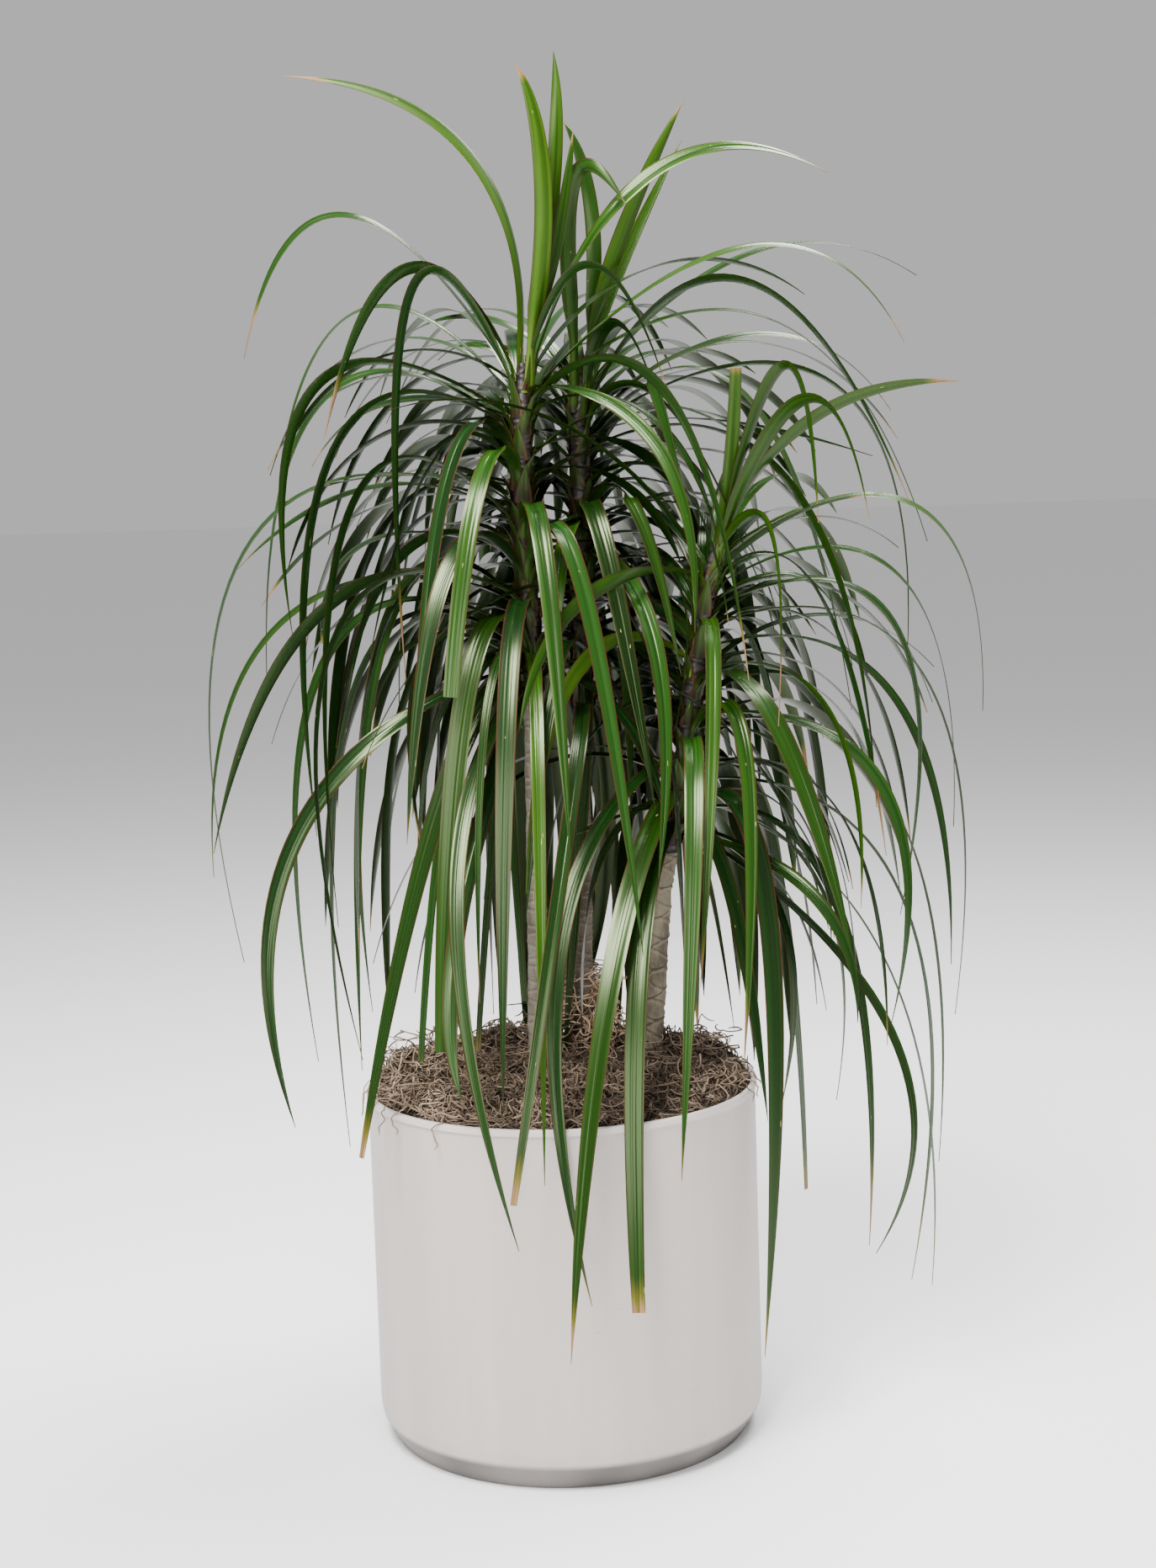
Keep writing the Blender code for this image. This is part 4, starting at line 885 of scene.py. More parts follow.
def leaf_finish(look):
    """Glossy strap leaf: pleats with painted shade in their furrows, veins, maroon margins, a pale base
    and a dry tip.
    """
    leaf = tuple(look.leaf_colour)
    f = Finish("strap_leaf", leaf)
    run, across, face = f.told("run"), f.told("v"), f.told("s")
    tone, dry, chance = f.told("tone"), f.told("dry"), f.told("chance")

    def lanes(across_scale, along_scale, seed, own=13.0, detail=1.0):
        """Noise over the blade that differs from leaf to leaf."""
        spread = f.together(across * across_scale + chance * seed, run * along_scale, chance * own)
        return f.noise(spread, 1.0, detail)

    green = f.coats(
        f.ramp(tone, (0.0, times(leaf, 0.55, 0.50, 0.70)), (0.35, leaf),
               (0.65, times(leaf, 2.1, 1.5, 0.5)), (1.0, times(leaf, 4.6, 2.3, 0.2))),
        (f.step(chance, 0.70, 0.92), (0.78, 0.90, 1.45), "MULTIPLY"),
        (f.step(chance, 0.30, 0.08), (1.35, 1.10, 0.65), "MULTIPLY"))
    under = f.step(face, 0.05, -0.25)
    young = f.step(tone, 0.45, 0.9)
    pleats = lanes(2.1, 0.7, 50.0)
    veins = lanes(7.0, 1.2, 90.0, detail=2.0)
    blotches = lanes(1.2, 9.0, 30.0, 71.0, 2.0)
    spots = lanes(2.6, 34.0, 61.0, 23.0)
    outer = across * across
    midrib = f.step(outer, 0.05, 0.0)
    clasp = f.mix(f.step(outer, 0.3, 0.95), (0.020, 0.012, 0.011), (0.14, 0.035, 0.032))
    ragged = run + (pleats - 0.5) * 0.05
    dead = f.step(ragged, dry - 0.010, dry + 0.010)
    straw = f.mix(f.step(veins, 0.4, 0.6), (0.12, 0.055, 0.026), (0.30, 0.17, 0.08))
    # Painted shade in the pleats' furrows, where the bumped relief is low
    furrow_shade = f.mix(1.0, green, (0.50, 0.56, 0.50), "MULTIPLY")
    colour = f.coats(
        f.mix(f.step(pleats, 0.38, 0.62), furrow_shade, green),
        (f.step(veins, 0.50, 0.66) * (0.4 - under * 0.35), (1.5, 1.38, 1.3), "MULTIPLY"),
        (midrib * 0.35, (0.62, 0.66, 0.62), "MULTIPLY"),
        (f.step(blotches, 0.35, 0.75) * 0.45, (1.45, 1.22, 0.8), "MULTIPLY"),
        (f.step(run, 0.20, 0.03) * (0.15 + young * 0.6), (0.13, 0.22, 0.02)),
        (f.step(run, 0.075, 0.03) * (1 - young) * 0.9, clasp),
        (f.step(outer, 0.62, 0.90) * (0.5 + chance * 0.4), (0.050, 0.012, 0.006)),
        (under * (0.55 - young * 0.4), (0.55, 0.56, 0.55), "MULTIPLY"),
        (f.step(ragged, dry - 0.035, dry) * 0.55, (0.17, 0.13, 0.015)),
        (dead, straw),
        (f.step(spots, 0.785, 0.81) * 0.8, (0.42, 0.33, 0.13)))
    rough = look.leaf_roughness + pleats * 0.08 + under * 0.07 + dead * 0.3
    relief = (pleats - midrib * 0.25) * (1 - under * 0.9)
    return f.surface(Base_Color=colour, Roughness=rough, Normal=f.bump(relief, 0.00075),
                     Specular_IOR_Level=0.36, Specular_Tint=(0.85, 1.0, 0.58, 1))


class Recipe(Nodes):
    """A Geometry Nodes tree with named inputs; it ends in plain meshes with their material."""

    def __init__(self, name, **inputs):
        super().__init__(bpy.data.node_groups.new(name, "GeometryNodeTree"))
        sockets = self.tree.interface
        sockets.new_socket("Geometry", in_out="INPUT", socket_type="NodeSocketGeometry")
        sockets.new_socket("Geometry", in_out="OUTPUT", socket_type="NodeSocketGeometry")
        for label, kind in inputs.items():
            sockets.new_socket(label.replace("_", " "), in_out="INPUT", socket_type="NodeSocket" + kind)
        self.group_input = self.tree.nodes.new("NodeGroupInput")

    def given(self, label):
        return Value(self, self.group_input.outputs[label])

    def keep(self, geometry, name, value, kind="FLOAT"):
        return self.add("GeometryNodeStoreNamedAttribute",
                        {"Geometry": geometry, "Name": name, "Value": value},
                        data_type=kind, domain="POINT")

    def told(self, name, kind="FLOAT"):
        return self.add("GeometryNodeInputNamedAttribute", {"Name": name}, data_type=kind)

    def end(self, geometry):
        solid = self.add("GeometryNodeRealizeInstances", {"Geometry": geometry})
        solid = self.add("GeometryNodeSetShadeSmooth", {"Geometry": solid, "Shade Smooth": True})
        solid = self.add("GeometryNodeSetMaterial",
                         {"Geometry": solid, "Material": self.given("Material")})
        output = self.tree.nodes.new("NodeGroupOutput")
        self.tree.links.new(solid.socket, output.inputs["Geometry"])
        return self

    def grow(self, piece, spent, **values):
        """Run the recipe on an object and keep what it makes as its plain mesh, less what is spent."""
        modifier = piece.modifiers.new(self.tree.name, "NODES")
        modifier.node_group = self.tree
        for item in self.tree.interface.items_tree:
            name = item.name.replace(" ", "_")
            if item.item_type == "SOCKET" and item.in_out == "INPUT" and name in values:
                modifier[item.identifier] = values[name]
        depsgraph = bpy.context.evaluated_depsgraph_get()
        mesh = bpy.data.meshes.new_from_object(
            piece.evaluated_get(depsgraph), preserve_all_data_layers=True, depsgraph=depsgraph)
        piece.modifiers.remove(modifier)
        plan, piece.data = piece.data, mesh
        bpy.data.meshes.remove(plan)
        mesh.name = piece.name
        for name in spent:
            layer = mesh.attributes.get(name)
            if layer:
                mesh.attributes.remove(layer)
        faces_out(mesh)


MARGIN_ANGLE = 1.1      # radians between faces, from which a leaf's margin is a crease
TROUGH_ROUND = 0.03     # how round the bottom of a leaf's trough is
TROUGH_DEPTH = 0.173    # how far that bottom is lowered to lie on the leaf's path


def strap_recipe():
    """A closed strap laid along each path, its section bent to the fold that the path tells."""
    r = Recipe("strap_leaves", Round_Points="Int", Thickness="Float", Material="Material")
    lines = r.add("GeometryNodeMeshToCurve", [r.given("Geometry")])
    lines = r.keep(lines, "spot", r.add("GeometryNodeInputPosition"), "FLOAT_VECTOR")
    ring = r.add("GeometryNodeCurvePrimitiveCircle",
                 {"Resolution": r.given("Round Points"), "Radius": 1.0})
    place = r.add("GeometryNodeInputPosition")
    ring = r.keep(r.keep(ring, "v", r.axis(place, 0)), "s", r.axis(place, 1))
    straps = r.add("GeometryNodeCurveToMesh",
                   {"Curve": lines, "Profile Curve": ring, "Fill Caps": True})
    v, s, half = r.told("v"), r.told("s"), r.told("half")
    trough = ((v * v + TROUGH_ROUND) ** 0.5 - TROUGH_DEPTH) * r.told("fold") * half
    lift = trough + s * r.given("Thickness") * 0.5
    sideways = r.vector("SCALE", r.told("across", "FLOAT_VECTOR"), scale=v * half)
    upwards = r.vector("SCALE", r.told("upper", "FLOAT_VECTOR"), scale=lift)
    spot = r.vector("ADD", r.told("spot", "FLOAT_VECTOR"), r.vector("ADD", sideways, upwards))
    straps = r.add("GeometryNodeSetPosition", {"Geometry": straps, "Position": spot})
    margin = r.math("GREATER_THAN", r.add("GeometryNodeInputMeshEdgeAngle"), MARGIN_ANGLE)
    straps = r.add("GeometryNodeSetShadeSmooth",
                   {"Geometry": straps, "Selection": margin, "Shade Smooth": False}, domain="EDGE")
    return r.end(straps)


def thread_recipe():
    """Thin round threads along paths, each path told how thick its thread is there."""
    r = Recipe("moss_threads", Radius="Float", Sides="Int", Material="Material")
    lines = r.add("GeometryNodeMeshToCurve", [r.given("Geometry")])
    ring = r.add("GeometryNodeCurvePrimitiveCircle",
                 {"Resolution": r.given("Sides"), "Radius": r.given("Radius")})
    threads = r.add("GeometryNodeCurveToMesh", {"Curve": lines, "Profile Curve": ring,
                                                "Scale": r.told("thick"), "Fill Caps": True})
    return r.end(threads)


def new_piece(name, verts, faces, edges=()):
    mesh = bpy.data.meshes.new(name)
    mesh.from_pydata([tuple(v) for v in verts], list(edges), faces)
    piece = bpy.data.objects.new(name, mesh)
    bpy.context.scene.collection.objects.link(piece)
    return piece


def tell(mesh, name, values):
    """Store one number or vector for each point of a mesh."""
    if isinstance(values[0], Vector):
        layer = mesh.attributes.new(name, "FLOAT_VECTOR", "POINT")
        layer.data.foreach_set("vector", [x for value in values for x in value])
    else:
        mesh.attributes.new(name, "FLOAT", "POINT").data.foreach_set("value", values)


def faces_out(mesh):
    made = bmesh.new()
    made.from_mesh(mesh)
    bmesh.ops.recalc_face_normals(made, faces=made.faces)
    made.to_mesh(mesh)
    made.free()


POT_CREASE = 40         # degrees between faces, from which an edge is a crease
ROUGH_CREASE = 60


def hand_over(piece, node):
    """The piece rides on the plant's one body and stands for a node, whose solid is hidden."""
    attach(piece, "root")
    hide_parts(node)


def dressed(name, skin, finish, crease, slot, node, **told):
    """Make a whole piece from corners and faces, with what its points are told."""
    piece = new_piece(name, *skin)
    mesh = piece.data
    for key, values in told.items():
        tell(mesh, key, values)
    faces_out(mesh)
    mesh.materials.append(finish)
    mesh.shade_smooth()
    mesh.set_sharp_from_angle(angle=math.radians(crease))
    hand_over(piece, node)


class Paths:
    """Paths as loose edges, each of their points told numbers and directions by name."""

    def __init__(self):
        self.verts, self.edges, self.told = [], [], {}

    def start(self, count):
        """Begin a path of so many points."""
        first = len(self.verts)
        self.edges += [(i, i + 1) for i in range(first, first + count - 1)]

    def point(self, spot, **told):
        self.verts.append(spot)
        for name, value in told.items():
            self.told.setdefault(name, []).append(value)

    def piece(self, name):
        piece = new_piece(name, self.verts, [], self.edges)
        for key, values in self.told.items():
            tell(piece.data, key, values)
        return piece


def rounded(corners, steps=6):
    """A profile with each corner (radius out, height, rounding) turned into a short arc."""
    points = [Vector(corners[0][:2])]
    for before, corner, after in zip(corners, corners[1:], corners[2:]):
        middle = Vector(corner[:2])
        size = corner[2]
        start = middle + (Vector(before[:2]) - middle).normalized() * size
        end = middle + (Vector(after[:2]) - middle).normalized() * size
        for i in range(steps + 1 if size else 1):
            t = i / steps
            points.append(start * (1 - t) ** 2 + middle * 2 * t * (1 - t) + end * t * t)
    points.append(Vector(corners[-1][:2]))
    return points


def turned(profile, sides):
    """Corners and faces of a closed turned solid; the profile starts and ends on the axis."""
    verts = [Vector((0, 0, profile[0][1]))]
    for radius, height in profile[1:-1]:
        verts += [polar(radius, math.tau * side / sides, height) for side in range(sides)]
    verts.append(Vector((0, 0, profile[-1][1])))
    rings = len(profile) - 2
    last = 1 + (rings - 1) * sides
    faces = [(0, 1 + (s + 1) % sides, 1 + s) for s in range(sides)]
    faces += ring_quads(rings, sides, 1)
    faces += [(last + s, last + (s + 1) % sides, len(verts) - 1) for s in range(sides)]
    return verts, faces


class DragonTreeLook(bpy.types.PropertyGroup):
    """Sizes and colours that a user would change."""
    pot_colour: bpy.props.FloatVectorProperty(
        name="Pot Colour", description="Colour of the planter", subtype="COLOR", size=3,
        min=0, max=1, default=(0.475, 0.426, 0.396))
    moss_colour: bpy.props.FloatVectorProperty(
        name="Moss Colour", description="Middle tone of the dry moss", subtype="COLOR", size=3,
        min=0, max=1, default=(0.205, 0.152, 0.104))
    leaf_colour: bpy.props.FloatVectorProperty(
        name="Leaf Colour", description="Colour of a grown leaf", subtype="COLOR", size=3,
        min=0, max=1, default=(0.0088, 0.0445, 0.0034))
    leaf_roughness: bpy.props.FloatProperty(
        name="Leaf Roughness", description="Roughness of a leaf's upper side", default=0.21,
        min=0, max=1, subtype="FACTOR")
    pot_sides: bpy.props.IntProperty(
        name="Pot Sides", description="Faces round the planter", default=168, min=24)
    strand_count: bpy.props.IntProperty(
        name="Moss Strands", description="Number of curly strands in each layer of the moss",
        default=1130, min=10)
    strand_radius: bpy.props.FloatProperty(
        name="Strand Radius", description="Half the thickness of a moss strand", default=0.00070,
        min=0.0001, unit="LENGTH")
    leaf_lengths: bpy.props.IntProperty(
        name="Leaf Lengths", description="Straight lengths in each leaf", default=34, min=6)
    leaf_round: bpy.props.IntProperty(
        name="Leaf Section", description="Points round a leaf's section", default=16, min=6)
    sheath_length: bpy.props.FloatProperty(
        name="Sheath Length", description="How far a leaf's base runs down the stem", default=0.015,
        min=0.002, unit="LENGTH")
    lamp_power: bpy.props.FloatProperty(
        name="Lamp Power", description="Power of the main soft lamp", default=218, min=0, unit="POWER")
    sky_strength: bpy.props.FloatProperty(
        name="Room Light", description="Strength of the light from all round", default=0.54, min=0)


def look_of(context):
    return context.scene.dragon_tree_look


class MakePot(bpy.types.Operator):
    """Turn the planter: thin wall, bead at the rim and chamfered foot"""
    bl_idname = "dragon_tree.pot"
    bl_label = "Planter"

    def execute(self, context):
        look = look_of(context)
        body = pot_radius(CHAMFER_HEIGHT)
        foot = POT_FOOT_RADIUS - CHAMFER_INSET
        inner = POT_RADIUS - POT_WALL
        corners = [
            (0, POT_FLOOR, 0),
            (INNER_FLOOR_RADIUS, POT_FLOOR, 0.004),
            (body - POT_WALL, INNER_CHAMFER_TOP, 0.006),
            (inner, POT_HEIGHT, 0.0012),
            (POT_RADIUS, POT_HEIGHT, 0.0014),
            (POT_RADIUS, POT_HEIGHT - BEAD_HEIGHT, 0.0010),
            (POT_RADIUS - BEAD_PROUD, POT_HEIGHT - BEAD_HEIGHT - 0.0012, 0.0008),
            (POT_RADIUS - BEAD_PROUD * 1.1, POT_HEIGHT * 0.6, 0.002),
            (body + 0.0002, CHAMFER_HEIGHT + 0.012, 0.004),
            (body - 0.0012, CHAMFER_HEIGHT, 0.0022),
            (foot + 0.002, 0.0022, 0.0018),
            (foot, 0, 0.0006),
            (0, 0, 0),
        ]
        skin = turned(rounded(corners), look.pot_sides)
        dressed("planter", skin, pot_finish(look), POT_CREASE, "pot", "pot")
        return {"FINISHED"}


class MakeSoil(bpy.types.Operator):
    """Give the soil its crumbly finish"""
    bl_idname = "dragon_tree.soil"
    bl_label = "Soil"

    def execute(self, context):
        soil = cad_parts["soil"]
        soil.data.materials.clear()
        soil.data.materials.append(soil_finish())
        return {"FINISHED"}


BED_DIVISIONS = (36, 120)       # rings and sectors of the moss under the strands
STRAND_STEP = 0.0026
STRAND_POINTS = 27
STRAND_SEED = 41
STRAND_SIDES = 3
STRAND_VARY = (0.7, 1.25)       # how the thickness of strands varies
STRAND_ENDS = (0.4, 0.75, 1.0)  # thickness of a strand at its end, one point in and further in
STRAND_REST = 0.0005            # height above the mound of a strand that lies on it
STRAND_CLEAR = 0.0015           # what strands on the mound keep from the pot's wall
STRAND_WANDER = 0.13            # how much the axis of a strand's hoops turns at each point
HOOP_RADIUS = (0.0034, 0.0095)  # how tightly a strand curls
HOOP_LIMITS = (0.0035, 0.03)    # and what that may change to along it
HOOP_VARY = (0.86, 1.17)
# The layers of strands: how high the common strand may rise above the mound, the same for the
# wild ones, their share, and the thickness
Layer = namedtuple("Layer", "lift wild_lift wild_share thick")
LAYERS = {
    "moss_strands": Layer(0.006, 0.012, 0.10, 1.0),
    "moss_curls": Layer(0.014, 0.030, 0.12, 1.05),
}
STRAND_SHADE = 0.012            # height above the mound where strands are out of the others' shade
COLLAR = (0.0245, 0.0776)       # where the moss climbs the middle cane
COLLAR_RISE = 0.046
COLLAR_SPREAD = 0.020
COLLAR_SHARE = 0.06             # share of the strands that start there
COLLAR_AWAY = (0.4, 1.5)        # how far from its middle, as a share of its spread
RIM_STRANDS = (-172, -168, -163, -158, -150, -141, -128, 176, 168, -20, -12, -4, 5, 14)
RIM_COURSE = ((0.158, 0.324), (0.168, 0.331), (0.177, 0.3295), (0.1835, 0.3225), (0.184, 0.312),
              (0.186, 0.302))
RIM_SPREAD = 3                  # degrees that such a strand may start to either side
RIM_LENGTH = (0.55, 1.0)        # the share of the course that it runs
RIM_DRIFT = 0.008               # radians that it strays at each point, and that it swings
RIM_SWING = 0.010


def moss_ground(x, y):
    """The height that strands lie on: the mound, and the moss that climbs the middle cane."""
    away = math.hypot(x - COLLAR[0], y - COLLAR[1]) / COLLAR_SPREAD
    return moss_height(x, y) + COLLAR_RISE * math.exp(-away ** 1.5)


def curly_strand(draw, layer):
    """One strand that wanders in hoops over the mound, and how high it lies at each point."""
    reach = pot_inside(MOSS_EDGE) - STRAND_CLEAR
    bearing = draw.uniform(0, math.tau)
    if draw.random() < COLLAR_SHARE:
        away = COLLAR_SPREAD * draw.uniform(*COLLAR_AWAY)
        x, y = COLLAR[0] + away * math.cos(bearing), COLLAR[1] + away * math.sin(bearing)
    else:
        away = reach * math.sqrt(draw.random())
        x, y = away * math.cos(bearing), away * math.sin(bearing)
    top = layer.wild_lift if draw.random() < layer.wild_share else layer.lift
    spot = Vector((x, y, moss_ground(x, y) + top * draw.random()))
    heading = Vector((draw.gauss(0, 1), draw.gauss(0, 1), draw.gauss(0, 0.4))).normalized()
    axis = Vector((draw.gauss(0, 0.7), draw.gauss(0, 0.7), draw.choice((-1, 1)))).normalized()
    hoop = draw.uniform(*HOOP_RADIUS)
    points, lifts = [], []
    for _ in range(STRAND_POINTS):
        low = moss_ground(spot.x, spot.y) + STRAND_REST
        if spot.z < low:
            spot.z = low
            heading.z = abs(heading.z)
        elif spot.z > low + top:
            heading.z = -abs(heading.z)
        points.append(spot.copy())
        lifts.append((spot.z - low) / STRAND_SHADE)
        heading.rotate(Quaternion(axis, STRAND_STEP / hoop))
        axis = (axis + Vector([draw.gauss(0, STRAND_WANDER) for _ in range(3)])).normalized()
        hoop = min(HOOP_LIMITS[1], max(HOOP_LIMITS[0], hoop * draw.uniform(*HOOP_VARY)))
        spot = spot + heading * STRAND_STEP
        away = math.hypot(spot.x, spot.y)
        if away > reach:
            spot.x, spot.y = spot.x * reach / away, spot.y * reach / away
    return points, lifts


def rim_strand(draw, bearing):
    """One strand that hangs over the rim, and how high it lies."""
    points = []
    angle = math.radians(bearing + draw.uniform(-RIM_SPREAD, RIM_SPREAD))
    length = draw.uniform(*RIM_LENGTH)
    for i in range(STRAND_POINTS):
        place = i / (STRAND_POINTS - 1) * (len(RIM_COURSE) - 1) * length
        k = min(int(place), len(RIM_COURSE) - 2)
        radius, height = (blend(a, b, place - k) for a, b in zip(RIM_COURSE[k], RIM_COURSE[k + 1]))
        points.append(polar(radius, angle, height))
        angle += draw.gauss(0, RIM_DRIFT) + RIM_SWING * math.sin(i * 0.5 + bearing)
    return points, [1.0] * STRAND_POINTS


class MakeMoss(bpy.types.Operator):
    """Lay curly dry moss over its mound and a little of it over the rim"""
    bl_idname = "dragon_tree.moss"
    bl_label = "Dry Moss"

    def execute(self, context):
        look = look_of(context)
        dressed("moss_bed", moss_skin(*BED_DIVISIONS), moss_bed_finish(look), ROUGH_CREASE,
                "moss", "moss")
        draw = random.Random(STRAND_SEED)
        recipe, finish = thread_recipe(), moss_finish(look)
        for name, layer in LAYERS.items():
            strands = [curly_strand(draw, layer) for _ in range(look.strand_count)]
            if name == "moss_curls":
                strands += [rim_strand(draw, bearing) for bearing in RIM_STRANDS]
            piece = self.paths(strands, draw).piece(name)
            recipe.grow(piece, ["thick"], Radius=look.strand_radius * layer.thick,
                        Sides=STRAND_SIDES, Material=finish)
            hand_over(piece, "moss")
        return {"FINISHED"}

    def paths(self, strands, draw):
        """The strands, each point told its strand's tone, its height and its thickness."""
        paths = Paths()
        for points, lifts in strands:
            chance, size = draw.random(), draw.uniform(*STRAND_VARY)
            paths.start(len(points))
            for i, (point, lift) in enumerate(zip(points, lifts)):
                inward = min(i, len(points) - 1 - i, len(STRAND_ENDS) - 1)
                paths.point(point, chance=chance, high=min(1.0, lift),
                            thick=size * STRAND_ENDS[inward])
        return paths


# Bark of each cane: pale and brown tones, how dark its scars are, how far apart they stand,
# how steep their crescents are and how proud they stand
Bark = namedtuple("Bark", "pale brown scarred spacing slant proud")
BARKS = {
    "left": Bark((0.34, 0.300, 0.235), (0.18, 0.15, 0.105), 0.65, 0.0105, 0.22, 0.00030),
    "middle": Bark((0.20, 0.165, 0.125), (0.115, 0.088, 0.064), 0.6, 0.0085, 0.35, 0.00045),
    "right": Bark((0.205, 0.175, 0.120), (0.085, 0.070, 0.047), 1.0, 0.0095, 0.55, 0.00070),
}
STEM_BARK = Bark((0.020, 0.013, 0.012), (0.009, 0.007, 0.0065), 0.8, 0.0062, 0.42, 0.0007)
CANE_RING = 0.0011      # the height of a ring of faces
CANE_SIDES = 30
STEM_RING = 0.0013
STEM_SIDES = 24
SCAR_WIDTH = 0.0011
KNOB_HEIGHT = 0.00035   # how far the bark bulges between its scars


def scar_line(bark, height, angle):
    """How near a place on the bark is to a leaf scar: 1 on its line, below 0 just under it."""
    nearest = 0.0
    first = math.floor(height / bark.spacing)
    for number in range(first - 1, first + 3):
        turned_by = angle - number * GOLDEN_ANGLE
        line = (number + bark.slant * math.cos(turned_by)) * bark.spacing
        away = (height - line) / SCAR_WIDTH
        mark = math.exp(-away ** 2) - 0.8 * math.exp(-((away + 2.4) / 1.5) ** 2)
        if abs(mark) > abs(nearest):
            nearest = mark
    return nearest


def scarred_skin(points, radii, bark, ring_step, sides):
    """Corners, faces and scars of bark lofted along points, its scars raised."""
    axis, thick = [], []
    for (low, high), (r0, r1) in zip(zip(points, points[1:]), zip(radii, radii[1:])):
        count = max(1, round((high - low).length / ring_step))
        for i in range(count):
            axis.append(low.lerp(high, i / count))
            thick.append(r0 + (r1 - r0) * i / count)
    axis.append(points[-1])
    thick.append(radii[-1])
    verts, scars = [], []
    for point, radius in zip(axis, thick):
        for side in range(sides):
            angle = math.tau * side / sides
            scar = scar_line(bark, point.z, angle)
            knob = KNOB_HEIGHT * math.sin(point.z * 90 + 3 * math.cos(angle)) * math.cos(2 * angle)
            verts.append(point + polar(radius + bark.proud * scar + knob, angle))
            scars.append(scar)
    faces = [tuple(reversed(range(sides))), *ring_quads(len(axis), sides),
             tuple(range(len(verts) - sides, len(verts)))]
    return verts, faces, scars


class MakeCanes(bpy.types.Operator):
    """Loft the bare canes with their crescent leaf scars"""
    bl_idname = "dragon_tree.canes"
    bl_label = "Canes"

    def execute(self, context):
        for cane in CANES:
            bark = BARKS[cane.name]
            *skin, scars = scarred_skin(*cane_line(cane), bark, CANE_RING, CANE_SIDES)
            dressed("bark_" + cane.name, skin, cane_finish(cane.name, bark), ROUGH_CREASE,
                    "cane", "cane_" + cane.name, scar=scars)
        return {"FINISHED"}


# The leaf bases that clasp the stem all round, those of leaves that are gone and of young ones
CLASP_FIRST = 0.4       # bare length of stem below the lowest, in cm
CLASP_STEP = 0.75       # height from one to the next, in cm
CLASP_LENGTHS = 8
CLASP_RUN = (2.0, 3.6)  # how far each runs up the stem, in cm
CLASP_OUT = 0.0006      # how far its foot stands off the stem
CLASP_LEAN = (0.003, 0.012)     # how far its end leans out, and how late it does
CLASP_CURVE = 2.2
CLASP_TURN = 0.3        # how far each may stand out of its place round the stem, in radians
CLASP_HALF = 0.0078
CLASP_TAPER = 1.7
CLASP_TONE, CLASP_TONE_VARY = 0.05, 0.3
NEVER_DRY = 1.2
CLASP_LOOK = (0.032, 0.085)     # the place of its ends along a whole leaf, for its colours
FINE_TIP = 0.0005
FINE_FLARE = 5.5        # the dressed blade reaches its full width sooner, and keeps it longer,
FINE_TAPER = 4.5        # than the solid one
FINE_WIDTH = 1.08
RULE_LEAF_SHADE = 0.10   # how much darker the leaves of the growth rule are made, as painted shade inside the crown
SHEATH_POINTS = 4
SHEATH_HALF = 0.0078    # half width of a leaf's base, measured straight across the stem
SHEATH_FOLD = 0.55      # how far that base wraps round the stem
SHEATH_OUT = 0.0012     # how far it stands off the stem's surface
CLEAR_OF_STEM = 0.0105  # distance from the stem's axis where the free blade begins
NECK_SHARE = 0.16       # a leaf that is still within the stem by then has no sheath of its own
BARE_BELOW = 0.2        # bare length of stem that sheaths leave at its foot, in cm

# How the dressed leaves of the growth rule and the table vary: tone of the oldest, how much
# younger the topmost look, where they turn dry, and how their blades fold and lean
OLD_TONE = 0.06
TONE_RISE = 0.40
TONE_VARY = (-0.06, 0.14)
DRY_VARY = (0.93, 1.12)
SEEN_DRY_VARY = 0.005
FOLD_VARY = (0.04, 0.20)
ROOT_FOLD = 0.50
FOLD_EASE = 7           # how soon the fold of the root opens
SWAY_VARY = (0.05, 0.30)
SWAY_WAVE = 5.0         # radians of its wave along a leaf
SWAY_EASE = 3


def fine_half(blade, t):
    """Half the width of a dressed blade along its length."""
    share = width_share(t, blade.cut_share, FINE_FLARE, FINE_TAPER)
    return max(FINE_TIP, blade.width * FINE_WIDTH * share) / 2


def leaf_course(cane, blade, lengths, sheath_length):
    """Points of a whole leaf, from its sheath to its tip, and how many belong to the sheath."""
    points = blade.curve(lengths)
    for free, point in enumerate(points):
        axis = along(cane, min(blade.root + (point.z - points[0].z) / CM, stem_top(cane)))
        if math.hypot(point.x - axis.x, point.y - axis.y) > CLEAR_OF_STEM:
            break
    else:
        return points, 0
    lowest = blade.root - sheath_length / CM
    if free > NECK_SHARE * lengths or lowest < cane.leafy_from + BARE_BELOW:
        return points, 0
    out = Vector((points[1].x - points[0].x, points[1].y - points[0].y, 0)).normalized()
    sheath = []
    for i in range(SHEATH_POINTS):
        share = i / SHEATH_POINTS
        axis = along(cane, blade.root - sheath_length / CM * (1 - share))
        sheath.append(axis + out * (STEM_RADIUS + SHEATH_OUT * (0.4 + share)))
    return sheath + points[free:], SHEATH_POINTS


